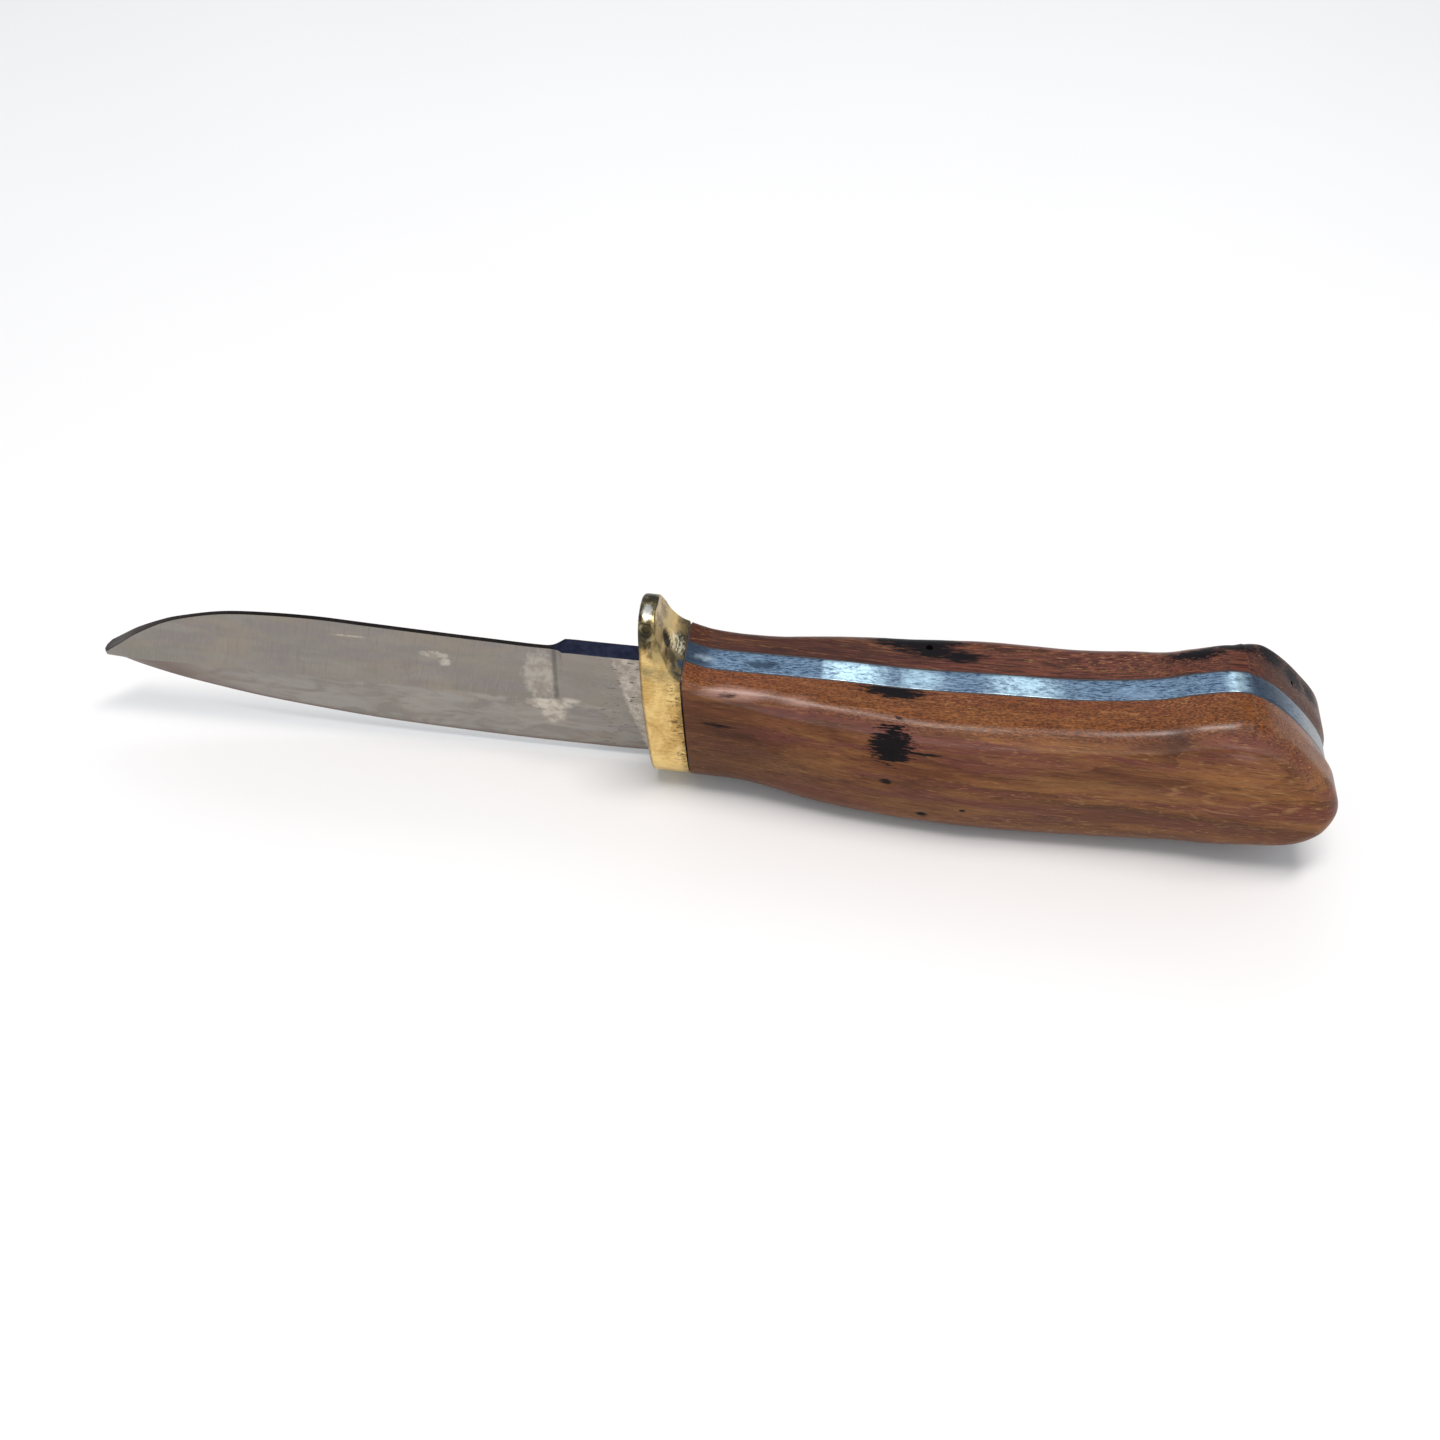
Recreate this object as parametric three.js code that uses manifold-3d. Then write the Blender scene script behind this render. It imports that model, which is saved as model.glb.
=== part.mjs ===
// A handmade fixed-blade carving knife: one flat steel piece that is blade, ricasso and full
// tang, a soldered brass guard with a thumb ramp, and two wooden scales glued and blind-pinned
// to the tang.
//
// Millimetres, +Z up. While the pieces are drawn, x = 0 is the guard's front face, y = 0 the
// middle plane of the steel and z = 0 the spine of the ricasso. The tip points to -X. The last
// group moves the whole knife so that it stands on z = 0, centred on the origin.
import * as THREE from 'three';
import * as BufferGeometryUtils from 'three/addons/utils/BufferGeometryUtils.js';
import Module from 'manifold-3d';

const wasm = await Module();
wasm.setup();

// ---- driving dimensions --------------------------------------------------------------------

const STOCK = 4.76;              // thickness of the tang, 3/16 in bar
const RICASSO = 3.6;             // thickness of the ricasso after grinding
const GLUE = 0.3;                // thickness of each epoxy layer and of the solder film
const GAP = 0.3;                 // clearance between the guard and the handle's front
const RAKE = 0.075;              // rearward lean of the guard, mm in x per mm down

const GUARD_FRONT = 1.9;         // guard's front face,
const GUARD_DEPTH = 9.2;         // and its rear face, at the height of the ricasso's spine
const GUARD_ROUND = 0.9;         // roundover of the guard's front edge
const HANDLE_FRONT = GUARD_DEPTH + GAP;
const GUARD_STEPS = 26;          // points down each half of the guard's outline
const SOLDER_INSET = 0.4;        // how far the solder stops short of the guard's two faces
const SOLDER_WIDENS = -13.4;     // height at which the blade, and so the solder, changes slope
const SOLDER_FLOOR = -25.5;      // height of the solder's lower end,
const SOLDER_TOE = 0.7;          // and its distance from the middle plane there

const PLUNGE_START = -13.4;      // where the upper grind begins, ahead of the guard
const PLUNGE_END = -17.0;        // where the upper grind has its full depth
const SPINE_THIN = 0.9;          // spine thickness just ahead of the plunge
const SPINE_TIP = 3.2;           // spine thickness at the point, where it cuts the thick steel
const CUTS_FROM = 2.5;           // drop of the spine at which it starts to cut thicker steel,
const CUTS_THICKEST = 15;        // and at which it would reach the thickest
const MID_THICK = 3.5;           // thickness along the bevel line
const EDGE_THICK = 0.5;          // thickness at the top of the small cutting bevel
const EDGE_BEVEL = 0.6;          // height of the small cutting bevel
const EDGE_LAND = 0.12;          // thickness left at the very edge
const TIP_X = -103.3;            // the point
const TIP_TAPER = 2.5;             // length over which the section thins to the point
const HOLLOW = 0.35;             // how far the upper grind stands above a straight line
const HOLLOW_STEPS = 5;

const ROUND_FRONT = 1.8;         // roundover of the scales' top edge at the guard,
const ROUND_TOP = 4.2;           // along the top from TOP_SETTLES back,
const ROUND_BUTT = 3.2;          // round the butt
const ROUND_BELLY = 7;           // and along the belly
const TOP_SETTLES = 28;
const CROWN = 0.5;               // how far the scales' faces swell in the middle
const CROWN_SHOULDER = 0.72;     // at this share of the way in, the face is lower than its
const CROWN_FALL = 0.2;          // middle by this share of the swell
const RIM_FLAT = 0.3;            // least flat of a scale beside the tang, before its roundover
const SCALE_INNER = STOCK / 2 + GLUE;

const PIN_DIAMETER = 3.2;
const PIN_REACH = 5;             // depth of each blind pin hole in a scale
const PIN_CLEARANCE = 0.25;      // radial clearance of the pins in their holes
const PINS = { front: [24, -12.5], middle: [64, -13], rear: [102, -9.5] };

// ---- outlines, as [x, z] or [x, y] points of smooth curves ----------------------------------

const spline = (points) => new THREE.SplineCurve(points.map(([a, b]) => new THREE.Vector2(a, b)));

const BLADE_SPINE = spline([
  [-103.3, -14], [-101.5, -12.2], [-99, -10.1], [-95.5, -7.6], [-90.4, -4.65], [-86, -2.75],
  [-78, -0.4], [-70, 0.6], [-60, 0.9], [-50, 0.5], [-40, 0.05], [-28, -0.4], [-17, -0.7],
  [-13, 0], [-6, 0], [12, 0],
]);
const BLADE_EDGE = spline([
  [-103.3, -14], [-101.8, -15.35], [-98, -16.95], [-91, -19.2], [-84, -20.8], [-74, -22.9],
  [-62, -24.6], [-50, -25.9], [-36, -26.7], [-22, -27.2], [-10, -27.3], [0, -27.2], [12, -26.5],
]);
const BEVEL_LINE = spline([
  [-103.3, -14], [-96, -13.6], [-86, -13.2], [-70, -13.2], [-52, -13.6], [-34, -13.6],
  [-20, -13.6], [-8, -13.3], [12, -13.2],
]);
const HANDLE_OUTLINE = spline([
  [8.5, 2.3], [11.5, 1.1], [15, 0.45], [25, 0.5], [38, 0.6], [51, 0.4], [65, 1.1], [80, 1.8],
  [92.5, 3.8], [100, 6.4], [106.5, 7.8], [112.5, 5.6], [119.5, -0.3], [125, -7], [127.5, -13.5],
  [126.9, -19], [122.4, -23.2], [113, -25.2], [100, -27.5], [80, -29], [60, -28.9], [45, -29],
  [32, -28.5], [20, -26.4], [8, -26.3],
]);
// Places along the handle's outline, from 0 to 1.
const OUTLINE_SPANS = HANDLE_OUTLINE.points.length - 1;
const TOP_END = 10 / OUTLINE_SPANS;       // the crest of the hump, where the top edge ends
const BUTT_T = 14 / OUTLINE_SPANS;        // the rearmost point of the butt
const BELLY_FROM = 17 / OUTLINE_SPANS;    // where the outline runs forward again
const HANDLE_PLAN = spline([     // half width of the handle
  [6, 8.7], [9.5, 8.8], [22, 9.7], [40, 11.9], [60, 13.5], [85, 12.8], [100, 12.8], [116, 14.2],
  [130, 14.6],
]);

// Half outline of the guard, [y, z], from the middle of its underside to the finger's crest.
const GUARD_SIDE = spline([
  [0, -26.6], [3, -26.5], [5.6, -25.8], [7.4, -23.6], [8.4, -19], [8.8, -10], [8.7, -3], [7.9, 1],
  [6.7, 4.8], [5.8, 8.2], [4.5, 10.9], [2.6, 12.4], [0, 12.9],
]);
// Hollow of the thumb ramp on the guard's back, [x, z].
const THUMB_RAMP = spline([
  [4, 15], [4.1, 12.2], [4.6, 9.4], [5.9, 5.9], [7.3, 3.5], [8.5, 2.2], [10.5, 1.4],
]);

// ---- geometry helpers ----------------------------------------------------------------------

const { lerp, smoothstep } = THREE.MathUtils;

const rakedX = (x, z) => x - RAKE * z;

function indexed(positions, index) {
  const geometry = new THREE.BufferGeometry();
  geometry.setAttribute('position', new THREE.Float32BufferAttribute(positions, 3));
  geometry.setIndex(index);
  return geometry;
}

// Triangles, anticlockwise, that fill a flat loop of [a, b] points.
function triangulate(loop) {
  return THREE.ShapeUtils.triangulateShape(loop.map(([a, b]) => new THREE.Vector2(a, b)), []);
}

// The place t, in t0..t1, where a curve that only rises or only falls in x there crosses x.
function crossing(curve, x, t0, t1) {
  const rising = curve.getPoint(t1).x > curve.getPoint(t0).x;
  let [low, high] = [t0, t1];
  for (let i = 0; i < 40; i += 1) {
    const middle = (low + high) / 2;
    if (curve.getPoint(middle).x < x === rising) low = middle;
    else high = middle;
  }
  return (low + high) / 2;
}

const heightAt = (curve, x, t0 = 0, t1 = 1) => curve.getPoint(crossing(curve, x, t0, t1)).y;

// One closed skin from a list of rings of equal length in order of rising x, each a loop of
// Vector3 that runs anticlockwise as seen from +X, with a cap on the first and the last ring.
function loft(rings) {
  const size = rings[0].length;
  const positions = rings.flat().flatMap((p) => [p.x, p.y, p.z]);
  const index = [];
  for (let r = 0; r + 1 < rings.length; r += 1) {
    for (let i = 0; i < size; i += 1) {
      const a = r * size + i;
      const b = r * size + (i + 1) % size;
      index.push(a, b, a + size, b, b + size, a + size);
    }
  }
  const last = (rings.length - 1) * size;
  for (const [a, b, c] of triangulate(rings[0].map((p) => [p.y, p.z]))) index.push(c, b, a);
  for (const [a, b, c] of triangulate(rings.at(-1).map((p) => [p.y, p.z]))) {
    index.push(last + a, last + b, last + c);
  }
  return indexed(positions, index);
}

function toSolid(geometry) {
  const bare = geometry.clone();
  bare.deleteAttribute('normal');
  bare.deleteAttribute('uv');
  const merged = BufferGeometryUtils.mergeVertices(bare, 1e-5);
  const index = [...merged.index.array];
  const faces = [];
  for (let i = 0; i < index.length; i += 3) {
    const [a, b, c] = index.slice(i, i + 3);
    if (a !== b && b !== c && c !== a) faces.push(a, b, c);
  }
  return new wasm.Manifold(new wasm.Mesh({
    numProp: 3,
    vertProperties: new Float32Array(merged.attributes.position.array),
    triVerts: new Uint32Array(faces),
  }));
}

function toGeometry(solid) {
  const mesh = solid.getMesh();
  const geometry = indexed([...mesh.vertProperties], [...mesh.triVerts]);
  geometry.computeVertexNormals();
  return geometry;
}

// A plate between y0 and y1 with its outline given as Vector2 points, x and z.
function plate(outline, y0, y1) {
  const options = { depth: 1, bevelEnabled: false };
  const geometry = new THREE.ExtrudeGeometry(new THREE.Shape(outline), options);
  const position = geometry.attributes.position;
  for (let i = 0; i < position.count; i += 1) {
    position.setXYZ(i, position.getX(i), position.getZ(i) > 0.5 ? y0 : y1, position.getY(i));
  }
  return geometry;
}

// A round rod along y.
function rod(diameter, y0, y1, [x, z]) {
  const geometry = new THREE.CylinderGeometry(diameter / 2, diameter / 2, y1 - y0, 24);
  return geometry.translate(x, (y0 + y1) / 2, z);
}

// ---- the handle's outline --------------------------------------------------------------------

const FAN_X = 108;               // the sections fan round the butt from this point back
const LENGTH_STEPS = 34;
const BUTT_STEPS = 30;
const ARC_STEPS = 6;

const topAt = (x) => heightAt(HANDLE_OUTLINE, x, 0, TOP_END);
const bellyAt = (x) => heightAt(HANDLE_OUTLINE, x, BELLY_FROM, 1);

// Pairs of a rim point and the point of the middle line that its section runs to, from the
// front of the top edge, round the butt, to the front of the belly.
function handleSections() {
  const top = [];
  const belly = [];
  for (let i = 0; i <= LENGTH_STEPS; i += 1) {
    const x = lerp(HANDLE_FRONT, FAN_X, i / LENGTH_STEPS);
    const lean = 1 - i / LENGTH_STEPS;
    const place = (z) => new THREE.Vector2(x - RAKE * z * lean, z);
    const onTop = place(topAt(x));
    const onBelly = place(bellyAt(x));
    const heart = place((onTop.y + onBelly.y) / 2);
    top.push([onTop, heart]);
    belly.unshift([onBelly, heart]);
  }
  const heart = top[LENGTH_STEPS][1];
  const start = crossing(HANDLE_OUTLINE, FAN_X, TOP_END, BUTT_T);
  const end = crossing(HANDLE_OUTLINE, FAN_X, BELLY_FROM, 1);
  const butt = [];
  for (let i = 1; i < BUTT_STEPS; i += 1) {
    butt.push([HANDLE_OUTLINE.getPoint(lerp(start, end, i / BUTT_STEPS)), heart]);
  }
  return [...top, ...butt, ...belly];
}

const SECTIONS = handleSections();
const TANG_OUTLINE = SECTIONS.map(([rim]) => rim);

// ---- pieces ----------------------------------------------------------------------------------

const pinHoles = (y0, y1) => Object.values(PINS).map(
  (place) => toSolid(rod(PIN_DIAMETER + 2 * PIN_CLEARANCE, y0, y1, place)),
);

// One station of the blade: half of the section down the left side, mirrored on the right.
function bladeRing(x) {
  const spine = heightAt(BLADE_SPINE, x);
  const edge = heightAt(BLADE_EDGE, x);
  const bevel = heightAt(BEVEL_LINE, x);
  const taper = Math.min(1, Math.sqrt((x - TIP_X) / TIP_TAPER));
  const grind = smoothstep(-x, -PLUNGE_START, -PLUNGE_END);
  const half = (thickness) => thickness / 2 * taper;
  const thin = half(lerp(SPINE_THIN, SPINE_TIP, smoothstep(-spine, CUTS_FROM, CUTS_THICKEST)));
  const full = half(lerp(RICASSO, MID_THICK, grind));
  const side = [];
  for (let i = 0; i <= HOLLOW_STEPS; i += 1) {
    const s = i / HOLLOW_STEPS;
    const hollow = thin + (full - thin) * s * (1 + HOLLOW * (1 - s));
    side.push([lerp(full, hollow, grind), lerp(spine, bevel, s)]);
  }
  const lip = Math.min(EDGE_BEVEL, (bevel - edge) * 0.3);
  side.push([half(EDGE_THICK), edge + lip], [half(EDGE_LAND), edge]);
  const left = side.map(([y, z]) => new THREE.Vector3(x, -y, z));
  const right = side.map(([y, z]) => new THREE.Vector3(x, y, z)).reverse();
  return [...left, ...right];
}

function bladeAndTang() {
  const stations = [0.1, 0.5, 1.1, 1.9, 3, 4.3, 5.8].map((ahead) => TIP_X + ahead);
  for (let x = -95.5; x < PLUNGE_END - 1; x += 2.5) stations.push(x);
  for (let x = PLUNGE_END - 0.2; x < PLUNGE_START + 0.4; x += 0.6) stations.push(x);
  stations.push(-13, -6, 0, 6, HANDLE_FRONT + 2.5);
  const blade = toSolid(loft(stations.map(bladeRing)));
  const tang = toSolid(plate(TANG_OUTLINE, -STOCK / 2, STOCK / 2));
  return pinHoles(-STOCK, STOCK).reduce((solid, hole) => solid.subtract(hole), tang.add(blade));
}

// The guard's outline, drawn in by `inset`, as a ring at x.
function guardRing(x, inset) {
  const right = GUARD_SIDE.getSpacedPoints(GUARD_STEPS);
  const loop = [...right, ...right.slice(1, -1).reverse().map((p) => new THREE.Vector2(-p.x, p.y))];
  return loop.map((p, i) => {
    const before = loop.at(i - 1);
    const after = loop[(i + 1) % loop.length];
    const normal = new THREE.Vector2(after.y - before.y, before.x - after.x).normalize();
    const z = p.y - normal.y * inset;
    return new THREE.Vector3(rakedX(x, z), p.x - normal.x * inset, z);
  });
}

function guard() {
  const rings = [];
  for (let i = 0; i <= ARC_STEPS; i += 1) {
    const angle = i / ARC_STEPS * Math.PI / 2;
    const behind = GUARD_FRONT + GUARD_ROUND * (1 - Math.cos(angle));
    rings.push(guardRing(behind, GUARD_ROUND * (1 - Math.sin(angle))));
  }
  rings.push(guardRing(GUARD_DEPTH, 0));
  const ramp = THUMB_RAMP.getPoints(18);
  const clear = 2 * GUARD_DEPTH;
  const behind = [[clear, ramp.at(-1).y], [clear, clear], [ramp[0].x, clear]];
  const outline = [...ramp, ...behind.map(([x, z]) => new THREE.Vector2(x, z))];
  const hollow = toSolid(plate(outline, -clear, clear));
  const slotHeight = 40;
  const slot = new THREE.BoxGeometry(3 * slotHeight, RICASSO + 2 * GLUE, slotHeight);
  slot.translate(0, 0, GLUE - slotHeight / 2);
  return toSolid(loft(rings)).subtract(hollow).subtract(toSolid(slot));
}

// The solder that fills the guard's slot: two sides and a bridge over the ricasso's spine. Each
// side is a thin film down to the bevel line and thickens below it as the blade thins.
function guardSolder() {
  const inner = RICASSO / 2;
  const outer = inner + GLUE;
  const right = [
    [inner, 0], [inner, SOLDER_WIDENS], [SOLDER_TOE, SOLDER_FLOOR], [outer, SOLDER_FLOOR], [outer, GLUE],
  ];
  const left = right.map(([y, z]) => [-y, z]).reverse();
  const shape = new THREE.Shape([...left, ...right].map(([y, z]) => new THREE.Vector2(y, z)));
  const front = GUARD_FRONT + SOLDER_INSET;
  const options = { depth: GUARD_DEPTH - SOLDER_INSET - front, bevelEnabled: false };
  const geometry = new THREE.ExtrudeGeometry(shape, options);
  const position = geometry.attributes.position;
  for (let i = 0; i < position.count; i += 1) {
    const [y, z, x] = [position.getX(i), position.getY(i), position.getZ(i)];
    position.setXYZ(i, rakedX(front + x, z), y, z);
  }
  return toSolid(geometry);
}

// One row of a right-hand scale's surface, from the tang's rim over the roundover to the middle
// of the crowned face.
function scaleRow([rim, heart]) {
  const reach = heart.clone().sub(rim);
  const inward = reach.clone().normalize();
  const halfWidth = heightAt(HANDLE_PLAN, rim.x);
  const middle = heightAt(HANDLE_PLAN, heart.x);
  const top = lerp(ROUND_FRONT, ROUND_TOP, smoothstep(rim.x, HANDLE_FRONT, TOP_SETTLES));
  const wanted = lerp(ROUND_BUTT, inward.y > 0 ? ROUND_BELLY : top, Math.abs(inward.y));
  const radius = Math.min(wanted, halfWidth - CROWN - SCALE_INNER - RIM_FLAT);
  const row = [new THREE.Vector3(rim.x, SCALE_INNER, rim.y)];
  const add = (distance, y) => {
    const p = rim.clone().addScaledVector(inward, distance);
    row.push(new THREE.Vector3(p.x, y, p.y));
  };
  for (let i = 0; i <= ARC_STEPS; i += 1) {
    const angle = i / ARC_STEPS * Math.PI / 2;
    add(radius * (1 - Math.cos(angle)), halfWidth - CROWN - radius * (1 - Math.sin(angle)));
  }
  add(reach.length() * CROWN_SHOULDER, middle - CROWN * CROWN_FALL);
  row.push(new THREE.Vector3(heart.x, middle, heart.y));
  return row;
}

// A wooden scale: a slab with a crowned face and a roundover along its top, butt and belly,
// drawn for the right side and mirrored for the left.
function handleScale(left) {
  const rows = SECTIONS.map(scaleRow);
  const width = rows[0].length;
  const points = rows.flat();
  const faces = [];
  for (let r = 0; r + 1 < rows.length; r += 1) {
    for (let i = 0; i + 1 < width; i += 1) {
      const a = r * width + i;
      faces.push([a, a + width, a + 1], [a + 1, a + width, a + width + 1]);
    }
  }
  const rim = rows.map((_, r) => r * width);
  for (const face of triangulate(rim.map((i) => [points[i].x, points[i].z]))) {
    faces.push(face.map((i) => rim[i]));
  }
  const lastRow = points.length - width;
  const steps = [...rows[0].keys()];
  const front = [...steps, ...steps.slice(0, -1).reverse().map((i) => lastRow + i)];
  for (const face of triangulate(front.map((i) => [points[i].y, points[i].z]))) {
    faces.push(face.map((i) => front[i]).reverse());
  }
  const side = left ? -1 : 1;
  const positions = points.flatMap((p) => [p.x, side * p.y, p.z]);
  const geometry = indexed(positions, faces.flatMap((face) => (left ? face.reverse() : face)));
  const deep = side * (SCALE_INNER + PIN_REACH);
  const holes = pinHoles(Math.min(0, deep), Math.max(0, deep));
  return holes.reduce((solid, hole) => solid.subtract(hole), toSolid(geometry));
}

// The epoxy between the tang and one scale.
function glueLayer(left) {
  const [y0, y1] = left ? [-SCALE_INNER, -STOCK / 2] : [STOCK / 2, SCALE_INNER];
  const layer = toSolid(plate(TANG_OUTLINE, y0, y1));
  return pinHoles(-STOCK, STOCK).reduce((solid, hole) => solid.subtract(hole), layer);
}

function pin(place) {
  const reach = SCALE_INNER + PIN_REACH - GAP;
  return toSolid(rod(PIN_DIAMETER, -reach, reach, place));
}

// ---- the knife -------------------------------------------------------------------------------

const finish = (color, roughness, metalness) => ({ color, roughness, metalness });
const STEEL = finish(0x8f8680, 0.35, 1);
const BRASS = finish(0xc9a04a, 0.3, 1);
const SOLDER = finish(0x9a9a98, 0.4, 1);
const WOOD = finish(0x7a3f24, 0.35, 0);
const EPOXY = finish(0x2a1d18, 0.4, 0);
const PIN_STEEL = finish(0x8c8c8c, 0.4, 1);

const knife = new THREE.Group();

function addPiece(name, solid, look) {
  const mesh = new THREE.Mesh(toGeometry(solid), new THREE.MeshStandardMaterial(look));
  mesh.name = name;
  knife.add(mesh);
}

addPiece('blade_and_tang', bladeAndTang(), STEEL);
addPiece('guard', guard(), BRASS);
addPiece('guard_solder', guardSolder(), SOLDER);
addPiece('scale_left', handleScale(true), WOOD);
addPiece('scale_right', handleScale(false), WOOD);
addPiece('glue_layer_left', glueLayer(true), EPOXY);
addPiece('glue_layer_right', glueLayer(false), EPOXY);
for (const [name, place] of Object.entries(PINS)) {
  addPiece(`hidden_pin_${name}`, pin(place), PIN_STEEL);
}

const box = new THREE.Box3().setFromObject(knife);
knife.position.set(-(box.min.x + box.max.x) / 2, 0, -box.min.z);

const whittlingKnife = new THREE.Group();
whittlingKnife.add(knife);

export default whittlingKnife;
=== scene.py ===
"""The looks of a handmade fixed-blade carving knife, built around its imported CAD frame.

Shapes are drawn in millimetres in the knife's own frame: x = 0 is the guard's front face, y = 0
the middle plane of the steel, z = 0 the spine of the ricasso, and the point lies towards -X.
"""
import math

import bmesh
import bpy
import numpy as np
from mathutils import Matrix, Vector, noise


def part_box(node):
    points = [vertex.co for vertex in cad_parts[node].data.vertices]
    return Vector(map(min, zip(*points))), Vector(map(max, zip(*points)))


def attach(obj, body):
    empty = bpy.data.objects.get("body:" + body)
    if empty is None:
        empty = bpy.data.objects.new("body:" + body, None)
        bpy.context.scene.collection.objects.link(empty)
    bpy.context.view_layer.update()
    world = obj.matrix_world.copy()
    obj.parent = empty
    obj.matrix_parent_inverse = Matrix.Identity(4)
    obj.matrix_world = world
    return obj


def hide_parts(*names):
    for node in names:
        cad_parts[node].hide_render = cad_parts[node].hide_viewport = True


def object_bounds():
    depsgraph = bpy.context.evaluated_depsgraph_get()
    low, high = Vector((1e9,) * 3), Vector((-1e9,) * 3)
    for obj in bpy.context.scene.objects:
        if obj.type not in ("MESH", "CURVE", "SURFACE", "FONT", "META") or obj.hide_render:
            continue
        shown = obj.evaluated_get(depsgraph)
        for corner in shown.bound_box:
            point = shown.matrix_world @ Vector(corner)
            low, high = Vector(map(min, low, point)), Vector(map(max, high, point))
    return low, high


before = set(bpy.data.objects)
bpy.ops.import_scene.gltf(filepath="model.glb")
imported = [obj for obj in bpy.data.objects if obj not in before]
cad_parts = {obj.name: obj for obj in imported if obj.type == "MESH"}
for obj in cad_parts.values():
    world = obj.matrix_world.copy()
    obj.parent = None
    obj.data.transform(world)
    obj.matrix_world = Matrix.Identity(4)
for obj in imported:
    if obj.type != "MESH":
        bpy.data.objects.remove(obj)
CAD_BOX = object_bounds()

MM = 0.001

# ---- driving dimensions ----
# The CAD model's own, but for a blade nose fitted closer to the photo: CUTS_FROM, CUTS_THICKEST,
# TIP_TAPER and the foremost points of BLADE_SPINE, BLADE_EDGE and BEVEL_LINE.

STOCK = 4.76
RICASSO = 3.6
GLUE = 0.3
GAP = 0.3
RAKE = 0.075
GUARD_FRONT = 1.9
GUARD_DEPTH = 9.2
GUARD_ROUND = 0.9
HANDLE_FRONT = GUARD_DEPTH + GAP
PLUNGE_START = -13.4
PLUNGE_END = -17.0
SPINE_THIN = 0.9
SPINE_TIP = 3.2
CUTS_FROM = 1.2
CUTS_THICKEST = 13
MID_THICK = 3.5
SPINE_CORNER = 0.14    # these two are only in the looks
EDGE_SWELL = 0.05
EDGE_THICK = 0.5
EDGE_BEVEL = 0.6
EDGE_LAND = 0.12
TIP_X = -103.3
TIP_TAPER = 1.0
HOLLOW = 0.35
CROWN = 0.5
SCALE_INNER = STOCK / 2 + GLUE
ROUND_FRONT = 1.8
ROUND_TOP = 4.2
ROUND_BELLY = 7
TOP_SETTLES = 28
FAN_X = 108
HEART_END = (117.5, -10.5)    # where the middle line of the handle's sections ends, near the butt

# The knife's own origin, in the row frame and in metres: the blade's first station is 0.1 mm
# behind the point, and the solder's top face lies one film above the ricasso's spine.
ORIGIN = Vector((
    CAD_BOX[0].x - (TIP_X + 0.1) * MM, 0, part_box("guard_solder")[1].z - GLUE * MM,
))


# ---- curves ----

class Spline:
    """A smooth curve through [a, b] points, the uniform Catmull-Rom that the CAD model uses."""

    def __init__(self, points):
        self.points = np.array(points, float)
        self.spans = len(points) - 1

    def at(self, t):
        s = np.clip(np.atleast_1d(t), 0, 1) * self.spans
        i = np.minimum(s.astype(int), self.spans - 1)
        u = (s - i)[:, None]
        p = self.points
        p0, p1 = p[np.maximum(i - 1, 0)], p[i]
        p2, p3 = p[i + 1], p[np.minimum(i + 2, self.spans)]
        v0, v1 = (p2 - p0) / 2, (p3 - p1) / 2
        cubic, square = 2 * p1 - 2 * p2 + v0 + v1, -3 * p1 + 3 * p2 - 2 * v0 - v1
        return cubic * u**3 + square * u**2 + v0 * u + p1

    def height(self, x, t0=0.0, t1=1.0):
        """The second coordinate where the first is x, on a stretch that only rises or falls."""
        dense = self.at(np.linspace(t0, t1, 6000))
        order = np.argsort(dense[:, 0])
        return np.interp(x, dense[order, 0], dense[order, 1])

    def place(self, x, t0, t1):
        """The t at which the first coordinate is x."""
        t = np.linspace(t0, t1, 6000)
        dense = self.at(t)[:, 0]
        order = np.argsort(dense)
        return float(np.interp(x, dense[order], t[order]))

    def spaced(self, count):
        """count + 1 points, evenly spaced along the curve."""
        dense = self.at(np.linspace(0, 1, 6000))
        steps = np.hypot(*np.diff(dense, axis=0).T)
        run = np.concatenate([[0], np.cumsum(steps)])
        even = np.linspace(0, run[-1], count + 1)
        return np.stack([np.interp(even, run, dense[:, k]) for k in (0, 1)], axis=1)


BLADE_SPINE = Spline([
    [-103.3, -13], [-101.5, -11.8], [-99, -9.95], [-95.5, -7.4], [-90.4, -4.45], [-86, -2.55],
    [-78, -0.3], [-70, 0.6], [-60, 0.9], [-50, 0.5], [-40, 0.05], [-28, -0.4], [-17, -0.7],
    [-13, 0], [-6, 0], [12, 0],
])
BLADE_EDGE = Spline([
    [-103.3, -13.2], [-101.8, -14.45], [-98, -16.5], [-91, -19], [-84, -20.8], [-74, -22.9],
    [-62, -24.6], [-50, -25.9], [-36, -26.7], [-22, -27.2], [-10, -27.3], [0, -27.2], [12, -26.5],
])
BEVEL_LINE = Spline([
    [-103.3, -13.1], [-96, -13.6], [-86, -13.2], [-70, -13.2], [-52, -13.6], [-34, -13.6],
    [-20, -13.6], [-8, -13.3], [12, -13.2],
])
HANDLE_OUTLINE = Spline([
    [8.5, 2.3], [11.5, 1.1], [15, 0.45], [25, 0.5], [38, 0.6], [51, 0.4], [65, 1.1], [80, 1.8],
    [92.5, 3.8], [100, 6.4], [106.5, 7.8], [112.5, 5.6], [119.5, -0.3], [125, -7], [127.5, -13.5],
    [126.9, -19], [122.4, -23.2], [113, -25.2], [100, -27.5], [80, -29], [60, -28.9], [45, -29],
    [32, -28.5], [20, -26.4], [8, -26.3],
])
TOP_END = 10 / HANDLE_OUTLINE.spans
BUTT_T = 14 / HANDLE_OUTLINE.spans
BELLY_FROM = 17 / HANDLE_OUTLINE.spans
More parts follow.
